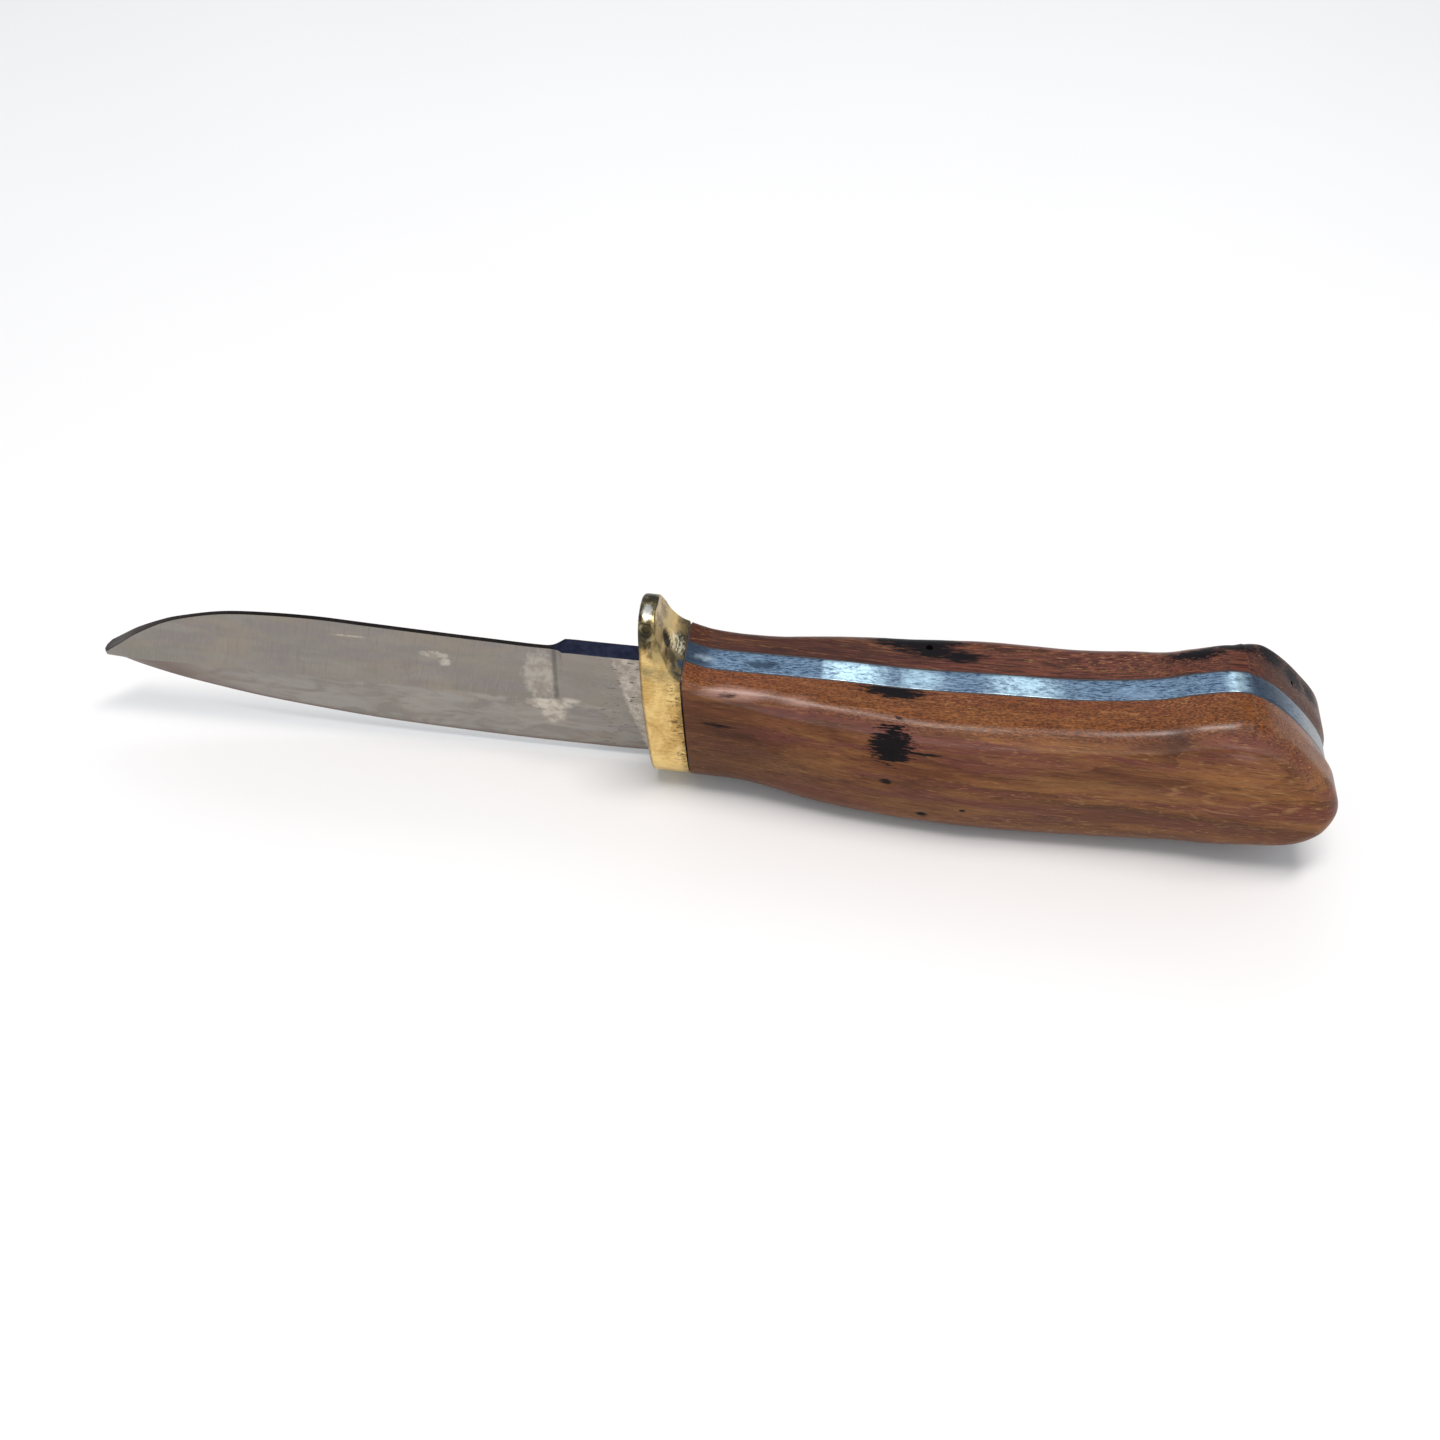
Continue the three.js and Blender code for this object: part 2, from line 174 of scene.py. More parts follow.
GUARD_SIDE = Spline([
    [0, -26.6], [3, -26.5], [5.6, -25.8], [7.4, -23.6], [8.4, -19], [8.8, -10], [8.7, -3], [7.9, 1],
    [6.7, 4.8], [5.8, 8.2], [4.5, 10.9], [2.6, 12.4], [0, 12.9],
])
THUMB_RAMP = Spline([
    [4, 15], [4.1, 12.2], [4.6, 9.4], [5.9, 5.9], [7.3, 3.5], [8.5, 2.2], [10.5, 1.4],
])
# Half width of the handle. The two scales were shaped by hand and differ a little at the butt.
PLAN = {"left": Spline([
    [6, 8.6], [9.5, 8.7], [22, 9.6], [40, 11.8], [60, 13.4], [85, 12.8], [100, 12.8], [110, 13.3],
    [130, 13.7],
]), "right": Spline([
    [6, 8.7], [9.5, 8.8], [22, 9.6], [40, 11.8], [60, 13.3], [85, 12.6], [100, 12.2], [110, 13.1],
    [118, 14.0], [130, 14.0],
])}
TOP_ROUND_REAR = {"left": 4.6, "right": 5.8}    # roundover of the rise before the butt
BUTT_ROUND = {"left": 3.2, "right": 1.6}
BUTT_BELLY = {"left": 5.8, "right": 7.0}        # belly roundover behind the palm swell
FLARE = {"left": 0.8, "right": 0.6}             # how far the butt flares out past the tang
TO_REAR, TO_BUTT, TO_BUTT_BELLY = (88, 98), (106, 113), (100, 114)    # x where they take over
FLARE_ALONG, FLARE_BELOW, FLARE_ABOVE = (109, 121), (-17, -9), (-1, -7)    # x, then z
FLARE_WIDE = 5.5                                # y at which the flare is full


# ---- mesh helpers ----

def smooth(x, a, b):
    """0 at a and before, 1 at b and beyond, smoothly between."""
    t = np.clip((np.asarray(x, float) - a) / (b - a), 0, 1)
    return t * t * (3 - 2 * t)


def lerp(a, b, t):
    return a + (b - a) * t


def rough_field(points, scale, seed, octaves=3):
    """Smooth noise of about -1 to 1 at each point, with bumps about `scale` mm across."""
    shift = Vector((seed * 17.3, seed * 5.1, seed * 9.7))
    return np.array([
        noise.fractal(Vector(p) / scale + shift, 1.0, 2.0, octaves) for p in points
    ])


def bare_object(name, points, faces, weld=False):
    """An object from points in knife millimetres, with its faces turned outwards."""
    mesh = bpy.data.meshes.new(name)
    placed = np.asarray(points, float) * MM + np.array(ORIGIN)
    mesh.from_pydata(placed.tolist(), [], [list(map(int, f)) for f in faces])
    bm = bmesh.new()
    bm.from_mesh(mesh)
    if weld:
        bmesh.ops.remove_doubles(bm, verts=bm.verts, dist=0.002 * MM)
        bmesh.ops.dissolve_degenerate(bm, edges=bm.edges, dist=0.001 * MM)
    bmesh.ops.recalc_face_normals(bm, faces=bm.faces)
    bm.to_mesh(mesh)
    bm.free()
    obj = bpy.data.objects.new(name, mesh)
    bpy.context.scene.collection.objects.link(obj)
    return obj


def make_object(name, points, faces, sharp_deg=32):
    """A welded and shaded piece, kept inside the CAD box."""
    lo, hi = ((corner - ORIGIN) / MM for corner in CAD_BOX)
    kept = np.clip(np.asarray(points, float), np.array(lo) + 0.002, np.array(hi) - 0.002)
    obj = bare_object(name, kept, faces, weld=True)
    shade(obj, sharp_deg)
    return obj


def shade(obj, sharp_deg):
    mesh = obj.data
    mesh.polygons.foreach_set("use_smooth", [True] * len(mesh.polygons))
    mesh.set_sharp_from_angle(angle=math.radians(sharp_deg))
    mesh.update()


def grid_faces(rows, columns, closed):
    """Quads between neighbouring rows of a grid; `closed` joins each row's end to its start."""
    faces = []
    for r in range(rows - 1):
        for c in range(columns if closed else columns - 1):
            a, b = r * columns + c, r * columns + (c + 1) % columns
            faces.append((a, b, b + columns, a + columns))
    return faces


def loft_faces(rings, count):
    """The skin of a stack of closed rings of `count` points, with a face over each end."""
    last = (rings - 1) * count
    ends = [tuple(range(count)), tuple(reversed(range(last, last + count)))]
    return grid_faces(rings, count, True) + ends


def quarter(steps):
    """(1 - sin, 1 - cos) at steps + 1 angles from 0 to a right angle, for roundovers."""
    angles = [k / steps * math.pi / 2 for k in range(steps + 1)]
    return [(1 - math.sin(angle), 1 - math.cos(angle)) for angle in angles]


def outward_normals(loop):
    """Unit normals that point out of a closed loop of plane points."""
    after = np.roll(loop, -1, axis=0)
    tangent = after - np.roll(loop, 1, axis=0)
    normal = np.stack([tangent[:, 1], -tangent[:, 0]], axis=1)
    normal /= np.linalg.norm(normal, axis=1)[:, None]
    area = np.sum(loop[:, 0] * after[:, 1] - loop[:, 1] * after[:, 0])
    return normal if area > 0 else -normal


def boolean(obj, other, operation):
    """Joins or cuts obj with other, and removes other."""
    modifier = obj.modifiers.new("cut", "BOOLEAN")
    modifier.object = other
    modifier.operation = operation
    modifier.solver = "EXACT"
    depsgraph = bpy.context.evaluated_depsgraph_get()
    mesh = bpy.data.meshes.new_from_object(obj.evaluated_get(depsgraph))
    obj.modifiers.clear()
    old = obj.data
    obj.data = mesh
    mesh.name = old.name + ".cut"
    bpy.data.meshes.remove(old)
    bpy.data.objects.remove(other)


def plate(name, outline, y0, y1, edge, sharp_deg=32):
    """A plate between y0 and y1 with its rim softened by `edge`, from [x, z] outline points."""
    loop = np.array(outline)
    outward = outward_normals(loop)
    side = 1 if y1 > y0 else -1
    stations = [(y0 + side * edge * out, edge * up) for up, out in quarter(3)]
    stations += [(lerp(y0 + side * edge, y1 - side * edge, k / 6), 0.0) for k in range(1, 6)]
    stations += [(y1 - side * edge * up, edge * out) for up, out in quarter(3)]
    points = [(a, y, b) for y, inset in stations for a, b in loop - outward * inset]
    return make_object(name, points, loft_faces(len(stations), len(loop)), sharp_deg)


# ---- blade and tang ----

def blade_profile(x):
    """Half of the blade's section at x as [y, z] points, from the spine's middle to the edge."""
    spine, edge, bevel = (float(c.height(x)) for c in (BLADE_SPINE, BLADE_EDGE, BEVEL_LINE))
    bevel = min(bevel, spine - 0.02)
    edge = min(edge, bevel - 0.03)
    taper = min(1.0, math.sqrt((x - TIP_X) / TIP_TAPER))
    run = min(max((PLUNGE_START - x) / (PLUNGE_START - PLUNGE_END), 0), 1)
    grind = 1 - (1 - run) ** 2.6
    thin = lerp(SPINE_THIN, SPINE_TIP, float(smooth(-spine, CUTS_FROM, CUTS_THICKEST))) / 2 * taper
    full = lerp(RICASSO, MID_THICK, grind) / 2 * taper
    top = lerp(full, thin, grind)
    corner = min(SPINE_CORNER, top * 0.4, (spine - bevel) * 0.3)
    side = [((top - corner) * k / 4, spine) for k in range(4)]
    side += [(top - corner * up, spine - corner * out) for up, out in quarter(3)]
    for s in np.linspace(corner / (spine - bevel), 1, 22)[1:]:
        hollow = thin + (full - thin) * s * (1 + HOLLOW * (1 - s))
        side.append((lerp(full, hollow, grind), lerp(spine, bevel, s)))
    lip = min(EDGE_BEVEL, (bevel - edge) * 0.3)
    belly = EDGE_THICK / 2 * taper
    for s in np.linspace(0, 1, 15)[1:]:
        swell = EDGE_SWELL * math.sin(math.pi * s)
        side.append((lerp(full, belly, s) + swell * taper, lerp(bevel, edge + lip, s)))
    side.append((EDGE_LAND / 2 * taper, edge + 0.02))
    return side


def blade_stations():
    ahead = np.concatenate([np.linspace(0.1, 3, 14), np.linspace(3.3, 10, 18)])
    body = np.arange(TIP_X + 10.7, PLUNGE_END - 0.5, 0.9)
    plunge = np.linspace(PLUNGE_END - 0.3, PLUNGE_START + 0.6, 34)
    ricasso = np.linspace(PLUNGE_START + 1.2, 0, 16)
    seat = np.linspace(1.5, HANDLE_FRONT + 2.5, 8)
    return np.concatenate([TIP_X + ahead, body, plunge, ricasso, seat])


def blade_and_tang(outline):
    points = []
    stations = blade_stations()
    for x in stations:
        side = blade_profile(float(x))
        points += [(x, y, z) for y, z in side] + [(x, -y, z) for y, z in reversed(side[1:])]
    faces = loft_faces(len(stations), len(points) // len(stations))
    blade = make_object("blade_steel", points, faces)
    tang = plate("tang", outline, -STOCK / 2, STOCK / 2, 0.1)
    boolean(blade, tang, "UNION")
    shade(blade, 32)
    return blade


# ---- handle ----

LENGTH_STEPS = 210
BUTT_STEPS = 64
REAR_T = 0.5 * (BUTT_T + 15 / HANDLE_OUTLINE.spans)


def handle_sections():
    """Pairs of (top rim, belly rim, heart), each [x, z], from the guard to the butt."""
    x = np.linspace(HANDLE_FRONT, FAN_X, LENGTH_STEPS + 1)
    lean = RAKE * (1 - np.linspace(0, 1, LENGTH_STEPS + 1))
    top_z = HANDLE_OUTLINE.height(x, 0, TOP_END)
    belly_z = HANDLE_OUTLINE.height(x, BELLY_FROM, 1)
    top = np.stack([x - lean * top_z, top_z], axis=1)
    belly = np.stack([x - lean * belly_z, belly_z], axis=1)
    heart = np.stack([x - lean * (top_z + belly_z) / 2, (top_z + belly_z) / 2], axis=1)
    u = np.linspace(0, 1, BUTT_STEPS + 1)[1:]
    start = HANDLE_OUTLINE.place(FAN_X, TOP_END, BUTT_T)
    end = HANDLE_OUTLINE.place(FAN_X, BELLY_FROM, 1)
    round_top = HANDLE_OUTLINE.at(lerp(start, REAR_T, u))
    round_belly = HANDLE_OUTLINE.at(lerp(end, REAR_T, u))
    reach = (1 - (1 - u) ** 1.7)[:, None]
    round_heart = lerp(heart[-1], np.array(HEART_END), reach)
    return (
        np.concatenate([top, round_top]),
        np.concatenate([belly, round_belly]),
        np.concatenate([heart, round_heart]),
    )


TOP_RIM, BELLY_RIM, HEARTS = handle_sections()
TANG_OUTLINE = np.concatenate([TOP_RIM, BELLY_RIM[:-1][::-1]])
ARC_STEPS = 14
FACE_STEPS = 16


def scale_row(rim, heart, hand):
    """Points [x, y, z] from the tang's rim over the roundover to the middle of the face."""
    reach = heart - rim
    length = float(np.linalg.norm(reach))
    inward = reach / length
    half_width = float(PLAN[hand].height(rim[0]))
    middle = float(PLAN[hand].height(heart[0]))
    top = lerp(ROUND_FRONT, ROUND_TOP, float(smooth(rim[0], HANDLE_FRONT, TOP_SETTLES)))
    top = lerp(top, TOP_ROUND_REAR[hand], float(smooth(rim[0], *TO_REAR)))
    top = lerp(top, BUTT_ROUND[hand] + 0.6, float(smooth(rim[0], *TO_BUTT)))
    belly = lerp(ROUND_BELLY, BUTT_BELLY[hand], float(smooth(rim[0], *TO_BUTT_BELLY)))
    wanted = lerp(BUTT_ROUND[hand], belly if inward[1] > 0 else top, abs(float(inward[1])) ** 1.3)
    shoulder = half_width - CROWN
    radius = min(wanted, shoulder - SCALE_INNER - 0.3, length * 0.8)
    flare = FLARE[hand] * float(smooth(rim[0], *FLARE_ALONG)) * float(smooth(rim[1], *FLARE_BELOW))
    flare *= lerp(0.5, 1, float(smooth(rim[1], *FLARE_ABOVE)))

    def place(distance, y):
        lean = flare * float(smooth(y, SCALE_INNER, FLARE_WIDE)) * max(0.0, 1 - distance / length)
        p = rim + inward * (distance - lean)
        return (p[0], y, p[1])

    row = [place(0, lerp(SCALE_INNER, shoulder - radius, k / 8)) for k in range(8)]
    row += [place(radius * out, shoulder - radius * up) for up, out in quarter(ARC_STEPS)]
    for k in range(1, FACE_STEPS + 1):
        s = k / FACE_STEPS
        rise = math.sin(s * math.pi / 2)
        row.append(place(lerp(radius, length, s), lerp(shoulder, middle, rise)))
    return row


# Places on the handle in knife millimetres.
HOLES = [                            # (place, radius, depth) of two holes in the right scale
    ((53.1, 8.1, 0.5), 0.62, 1.6),       # a round beetle hole in its top
    ((117.9, 7.0, 1.3), 0.35, 0.8),      # a pin-prick hole at the butt
]
DENTS = [                            # (x, y, z, radius, depth) of the left scale's shallow dents
    (47.4, -12.7, -14.2, 0.8, 0.25), (55.0, -12.7, -22.7, 0.9, 0.3),
    (46.6, -12.1, -4.6, 1.8, 0.15), (17.5, -9.3, -0.4, 0.7, 0.15),
]
BACK_COLUMNS = 12                    # faces across the glued face
# Each wave of the hand-worked surface: (bump size, seed on the left, seed on the right, height).
WAVES = [(14.0, 3, 8, 0.16), (4.5, 5, 11, 0.045)]


def wood_scale(name, side):
    """One wooden scale; side is -1 for the left and 1 for the right."""
    hand = "left" if side < 0 else "right"
    points = []
    for top, belly, heart in zip(TOP_RIM, BELLY_RIM, HEARTS):
        points += scale_row(top, heart, hand) + scale_row(belly, heart, hand)[-2::-1]
    rows = len(HEARTS)
    width = len(points) // rows
    points = np.array(points)
    faces = grid_faces(rows, width, False)

    # The glued face joins the two rims of each row, and one face closes the front.
    outer_count, index, backs = len(points), [], []
    for r in range(rows):
        first, last = r * width, (r + 1) * width - 1
        start = outer_count + len(backs)
        steps = [k / BACK_COLUMNS for k in range(1, BACK_COLUMNS)]
        backs += [lerp(points[first], points[last], step) for step in steps]
        index.append([first, *range(start, start + BACK_COLUMNS - 1), last])
    for here, after in zip(index, index[1:]):
        faces += [(here[k], after[k], after[k + 1], here[k + 1]) for k in range(BACK_COLUMNS)]
    faces.append((*range(width), *reversed(index[0][1:-1])))
    points = np.concatenate([points, np.array(backs)])

    outer = np.arange(len(points)) < outer_count
    depth = smooth(points[:, 1], SCALE_INNER + 0.1, SCALE_INNER + 3.0) * outer
    wave = 0
    for size, left_seed, right_seed, height in WAVES:
        wave = wave + rough_field(points, size, left_seed if side < 0 else right_seed, 2) * height
    points[:, 1] += wave * depth
    if side < 0:
        for x, y, z, radius, deep in DENTS:
            away = np.linalg.norm((points - np.array([x, -y, z])) * np.array([0.6, 1, 1]), axis=1)
            points[:, 1] -= deep * np.exp(-((away / radius) ** 2)) * depth
    points[:, 1] *= side
    scale = make_object(name, points, faces, 50)
    if side > 0:
        for place, radius, deep in HOLES:
            boolean(scale, pit_cutter(place, radius, deep), "DIFFERENCE")
        shade(scale, 50)
    return scale


def pit_cutter(place, radius, deep):
    """A round-bottomed, slightly ragged pit that opens at `place` and goes down."""
    points, around, levels, above = [], 20, 9, 1.0
    for k in range(levels):
        s = k / (levels - 1)
        r = radius * (1.15 - 0.2 * s) * math.sqrt(max(0.0, 1 - (max(0.0, s - 0.6) / 0.4) ** 2))
        for i in range(around):
            angle = 2 * math.pi * i / around
            ragged = 1 + 0.07 * math.sin(3 * angle + k) + 0.04 * math.sin(7 * angle)
            points.append((
                place[0] + max(r, 0.01) * ragged * math.cos(angle),
                place[1] + max(r, 0.01) * ragged * math.sin(angle),
                place[2] + above - (deep + above) * s,
            ))
    return bare_object("pit", points, loft_faces(levels, around))


# ---- guard ----

GUARD_STEPS = 110
CAP_COLUMNS = 16                     # faces across the guard's front and rear
ARRIS = 0.22                         # softening of the guard's rear edges
SIDE_WEAR = 0.07
FILE_MARKS = 0.14
GUARD_DENTS = [                      # (x, y, z, radius, depth)
    (6.2, -1.0, 5.8, 0.9, 0.55), (6.9, -0.4, 4.6, 0.6, 0.3), (8.2, -8.7, -3.0, 0.35, 0.12),
    (8.7, -8.8, -6.2, 0.4, 0.14), (8.0, -8.8, -8.4, 0.3, 0.1), (8.6, -8.8, -10.0, 0.35, 0.12),
    (9.1, -8.7, -13.5, 0.35, 0.12), (7.3, -8.7, -12.0, 0.28, 0.08), (7.4, -8.5, -0.9, 0.45, 0.14),
]


def guard_rear(z):
    """x of the guard's rear face at height z: flat below, and the thumb ramp's hollow above."""
    z = np.asarray(z, float)
    flat = GUARD_DEPTH - RAKE * z
    dense = THUMB_RAMP.at(np.linspace(0, 1, 3000))[::-1]
    ramp = np.interp(z, dense[:, 1], dense[:, 0])
    return np.where(z < dense[0, 1], flat, np.minimum(flat, ramp))


def guard_brass():
    half = GUARD_SIDE.spaced(GUARD_STEPS)
    loop = np.concatenate([half, (half[1:-1] * np.array([-1, 1]))[::-1]])
    outward = outward_normals(loop)
    count = len(loop)
    behind = GUARD_FRONT + GUARD_ROUND

    def ring(inset, x_of):
        p = loop - outward * inset
        return np.stack([x_of(p[:, 1]), p[:, 0], p[:, 1]], axis=1)

    def flank(z, s):
        rear = np.maximum(guard_rear(z) - ARRIS, behind + 0.1 - RAKE * z)
        return lerp(behind - RAKE * z, rear, s)

    rings = [
        ring(GUARD_ROUND * up, lambda z, out=out: GUARD_FRONT + GUARD_ROUND * out - RAKE * z)
        for up, out in quarter(10)
    ]
    rings += [ring(0, lambda z, s=k / 16: flank(z, s)) for k in range(1, 16)]
    rings += [
        ring(ARRIS * out, lambda z, up=up: guard_rear(z) - ARRIS * up) for up, out in quarter(4)
    ]
    points = np.concatenate(rings)
    faces = grid_faces(len(rings), count, True)

    def cap(edge_ring, base, x_of, flip):
        """Rows across the guard between the left and the right of its outline."""
        nonlocal points
        columns = CAP_COLUMNS
        new, index = [], []
        for i in range(GUARD_STEPS + 1):
            right = base + i
            left = base + (count - i) % count
            if i in (0, GUARD_STEPS):
                index.append([right] * (columns + 1))
                continue
            a, b = edge_ring[i], edge_ring[(count - i) % count]
            ids = [right]
            for k in range(1, columns):
                y, z = lerp(a[1], b[1], k / columns), lerp(a[2], b[2], k / columns)
                ids.append(len(points) + len(new))
                new.append((float(x_of(z)), y, z))
            index.append(ids + [left])
        for r in range(GUARD_STEPS):
            for k in range(columns):
                quad = [index[r][k], index[r][k + 1], index[r + 1][k + 1], index[r + 1][k]]
                face = list(dict.fromkeys(quad))
                if len(face) > 2:
                    faces.append(tuple(face if flip else reversed(face)))
        points = np.concatenate([points, np.array(new)])

    cap(rings[0], 0, lambda z: GUARD_FRONT - RAKE * z, False)
    cap(rings[-1], (len(rings) - 1) * count, guard_rear, True)

    side = smooth(np.abs(points[:, 1]), 4.0, 7.5)
    worn = rough_field(points, 5.0, 21, 3)
    points[:, 1] += np.sign(points[:, 1]) * side * (worn * SIDE_WEAR - SIDE_WEAR)
    ramp = smooth(points[:, 2], 1.6, 4.0) * smooth(points[:, 0] + RAKE * points[:, 2], 2.6, 4.4)
    filed = rough_field(points * np.array([1, 0.35, 1]), 1.3, 33, 3)
    points[:, 0] += ramp * (filed * FILE_MARKS - 0.08)
    for x, y, z, radius, deep in GUARD_DENTS:
        away = np.linalg.norm(points - np.array([x, y, z]), axis=1)
        push = deep * np.exp(-((away / radius) ** 2))
        if abs(y) > 5:
            points[:, 1] -= np.sign(y) * push
        else:
            points[:, 0] -= push
    guard = make_object("guard_brass", points, faces, 40)

    reach, height, slot = 30.0, 40.0, RICASSO / 2 + GLUE
    corners = [
        (x, y, z)
        for x in (-reach, reach) for y in (-slot, slot) for z in (GLUE - height, GLUE)
    ]
    box_faces = [(0, 1, 3, 2), (4, 6, 7, 5), (0, 4, 5, 1), (2, 3, 7, 6), (0, 2, 6, 4), (1, 5, 7, 3)]
    boolean(guard, bare_object("slot", corners, box_faces), "DIFFERENCE")
    shade(guard, 40)
    return guard


def solder_fill():
    """Solder in the guard's slot, with a small bead that stands out round the ricasso."""
    film, kink, low, lip = 0.01, -13.4, -26.0, 0.42    # the blade narrows below the kink
    inner, outer, top_z = RICASSO / 2 + film, RICASSO / 2 + GLUE - film, GLUE - film
    section = [(inner, z) for z in np.linspace(-film, kink, 24)]
    section += [(lerp(inner, lip, s), lerp(kink, low, s)) for s in np.linspace(0, 1, 20)[1:]]
    section += [(lerp(lip, outer, s), low) for s in np.linspace(0, 1, 5)[1:]]
    section += [(outer, z) for z in np.linspace(low, top_z, 44)[1:]]
    top = [(lerp(outer, -outer, s), top_z) for s in np.linspace(0, 1, 12)[1:-1]]
    under = [(lerp(-inner, inner, s), film) for s in np.linspace(0, 1, 12)[1:-1]]
    ring = np.array(section + top + [(-y, z) for y, z in reversed(section)] + under)
    inside = np.linspace(GUARD_FRONT + 0.3, GUARD_DEPTH - 0.4, 12)
    stations = [(GUARD_FRONT - 0.16, 0.05), (GUARD_FRONT - 0.1, 0.0)] + [(x, 0.0) for x in inside]
    points = []
    for x, shrink in stations:
        bead = rough_field([(0, y, z) for y, z in ring], 1.6, 40, 2) * 0.06 if x < GUARD_FRONT else 0
        for (y, z), wobble in zip(ring, np.broadcast_to(bead, len(ring))):
            points.append((x + wobble - RAKE * z, y, z + (shrink if z < 0 else -shrink)))
    return make_object("solder_seam", points, loft_faces(len(stations), len(ring)), 40)


def seam_epoxy():
    """Dark epoxy in the seam between the guard's rear face and the handle's front."""
    z = np.linspace(-25.6, 1.9, 90)
    half = np.interp(z, GUARD_SIDE.points[:, 1], GUARD_SIDE.points[:, 0])
    half = np.minimum(half, PLAN["left"].height(HANDLE_FRONT) - CROWN) - 0.18
    for limit, radius in ((z[0], 3.2), (z[-1], 1.2)):
        away = np.abs(z - limit)
        inside = away < radius
        half[inside] -= radius - np.sqrt(np.maximum(0, radius**2 - (radius - away[inside]) ** 2))
    points = []
    for k, depth in enumerate(np.linspace(0.02, GAP - 0.02, 4)):
        inset = 0.06 if k in (0, 3) else 0.0
        x = GUARD_DEPTH + depth - RAKE * z
        points += [(a, h - inset, c) for a, h, c in zip(x, half, z)]
        points += [(a, -(h - inset), c) for a, h, c in zip(x[::-1], half[::-1], z[::-1])]
    count = 2 * len(z)
    faces = grid_faces(4, count, True)
    for base, flip in ((0, False), (3 * count, True)):
        for i in range(len(z) - 1):
            quad = (base + i, base + i + 1, base + count - 2 - i, base + count - 1 - i)
            faces.append(tuple(reversed(quad)) if flip else quad)
    return make_object("guard_seam_epoxy", points, faces, 40)


# ---- material graphs ----

class Graph:
    """Short calls for building one material's nodes. Every texture is read in knife millimetres."""

    def __init__(self, name):
        self.material = bpy.data.materials.new(name)
        self.material.use_nodes = True
        self.tree = self.material.node_tree
        self.tree.nodes.clear()
        self.shader = self.node("ShaderNodeBsdfPrincipled")
        out = self.node("ShaderNodeOutputMaterial")
        self.tree.links.new(self.shader.outputs[0], out.inputs[0])
        where = self.node("ShaderNodeTexCoord").outputs["Object"]
        self.at = self.vector("MULTIPLY", self.vector("SUBTRACT", where, ORIGIN), (1 / MM,) * 3)
        self.x, self.y, self.z = self.split(self.at)
        self.nx, self.ny, self.nz = self.split(self.node("ShaderNodeNewGeometry").outputs["Normal"])

    def node(self, kind, **settings):
        made = self.tree.nodes.new(kind)
        for key, value in settings.items():
            setattr(made, key, value)
        return made

    def put(self, socket, value):
        if isinstance(value, bpy.types.NodeSocket):
            self.tree.links.new(value, socket)
        elif isinstance(value, (tuple, list)) and len(value) == 3 and socket.type == "RGBA":
            socket.default_value = (*value, 1)
        else:
            socket.default_value = value

    def fill(self, made, values):
        """Sets or links a node's first inputs, in their order."""
        for socket, value in zip(made.inputs, values):
            self.put(socket, value)
        return made

    def math(self, operation, *values):
        return self.fill(self.node("ShaderNodeMath", operation=operation), values).outputs[0]

    def vector(self, operation, *values):
        made = self.fill(self.node("ShaderNodeVectorMath", operation=operation), values)
        return made.outputs["Value" if operation == "LENGTH" else "Vector"]

    def split(self, vector):
        return self.fill(self.node("ShaderNodeSeparateXYZ"), [vector]).outputs

    def add(self, a, b):
        return self.math("ADD", a, b)

    def mul(self, first, *others):
        """The product of masks and numbers; a last factor of 1 adds no node."""
        if not others or others == (1.0,):
            return first
        return self.math("MULTIPLY", first, self.mul(*others))

    def span(self, value, a, b, low=0.0, high=1.0):
        """value from a to b becomes low to high, smoothly and held at both ends."""
        made = self.node("ShaderNodeMapRange", interpolation_type="SMOOTHSTEP")
        return self.fill(made, (value, a, b, low, high)).outputs[0]

    def clouds(self, scale, detail, roughness=0.5, distortion=0.0, shift=(0, 0, 0), vector=None):
        """Noise with the given number of features per millimetre along x, y and z."""
        placed = self.node("ShaderNodeMapping")
        self.put(placed.inputs["Vector"], vector or self.at)
        placed.inputs["Scale"].default_value = scale
        placed.inputs["Location"].default_value = shift
        made = self.node("ShaderNodeTexNoise")
        self.put(made.inputs["Vector"], placed.outputs[0])
        settings = {"Scale": 1.0, "Detail": detail, "Roughness": roughness, "Distortion": distortion}
        for name, given in settings.items():
            made.inputs[name].default_value = given
        return made.outputs[0]

    def fray(self, amount, scale, detail, roughness, shift=(0, 0, 0)):
        """Noise about 0 that tears the rim of a near() patch."""
        rough = self.clouds(scale, detail, roughness, shift=shift)
        return self.mul(self.add(rough, -0.5), amount)

    def mix(self, factor, a, b, kind="RGBA"):
        made = self.node("ShaderNodeMix", data_type=kind)
        first, out = {"RGBA": (6, 2), "FLOAT": (2, 0)}[kind]
        for socket, value in zip((0, first, first + 1), (factor, a, b)):
            self.put(made.inputs[socket], value)
        return made.outputs[out]

    def over(self, colour, tint, mask, share=1.0):
        """The colour with a tint laid over it where the mask is 1, at most by the share."""
        return self.mix(self.mul(mask, share), colour, tint)

    def lay(self, tint, mask, share=1.0):
        """Lays a tint over the material's colour so far."""
        self.colour = self.over(self.colour, tint, mask, share)

    def near(self, place, size, edge=0.0, ragged=None):
        """1 at a place on the knife, fading to 0 at an ellipsoid of the given half sizes."""
        offset = self.vector("SUBTRACT", self.at, place)
        away = self.vector("LENGTH", self.vector("DIVIDE", offset, size))
        if ragged is not None:
            away = self.add(away, ragged)
        return self.span(away, 1.0, edge)

    def spot(self, tint, share, *patch):
        """Lays a tint on a near() patch and returns its mask."""
        mask = self.near(*patch)
        self.lay(tint, mask, share)
        return mask

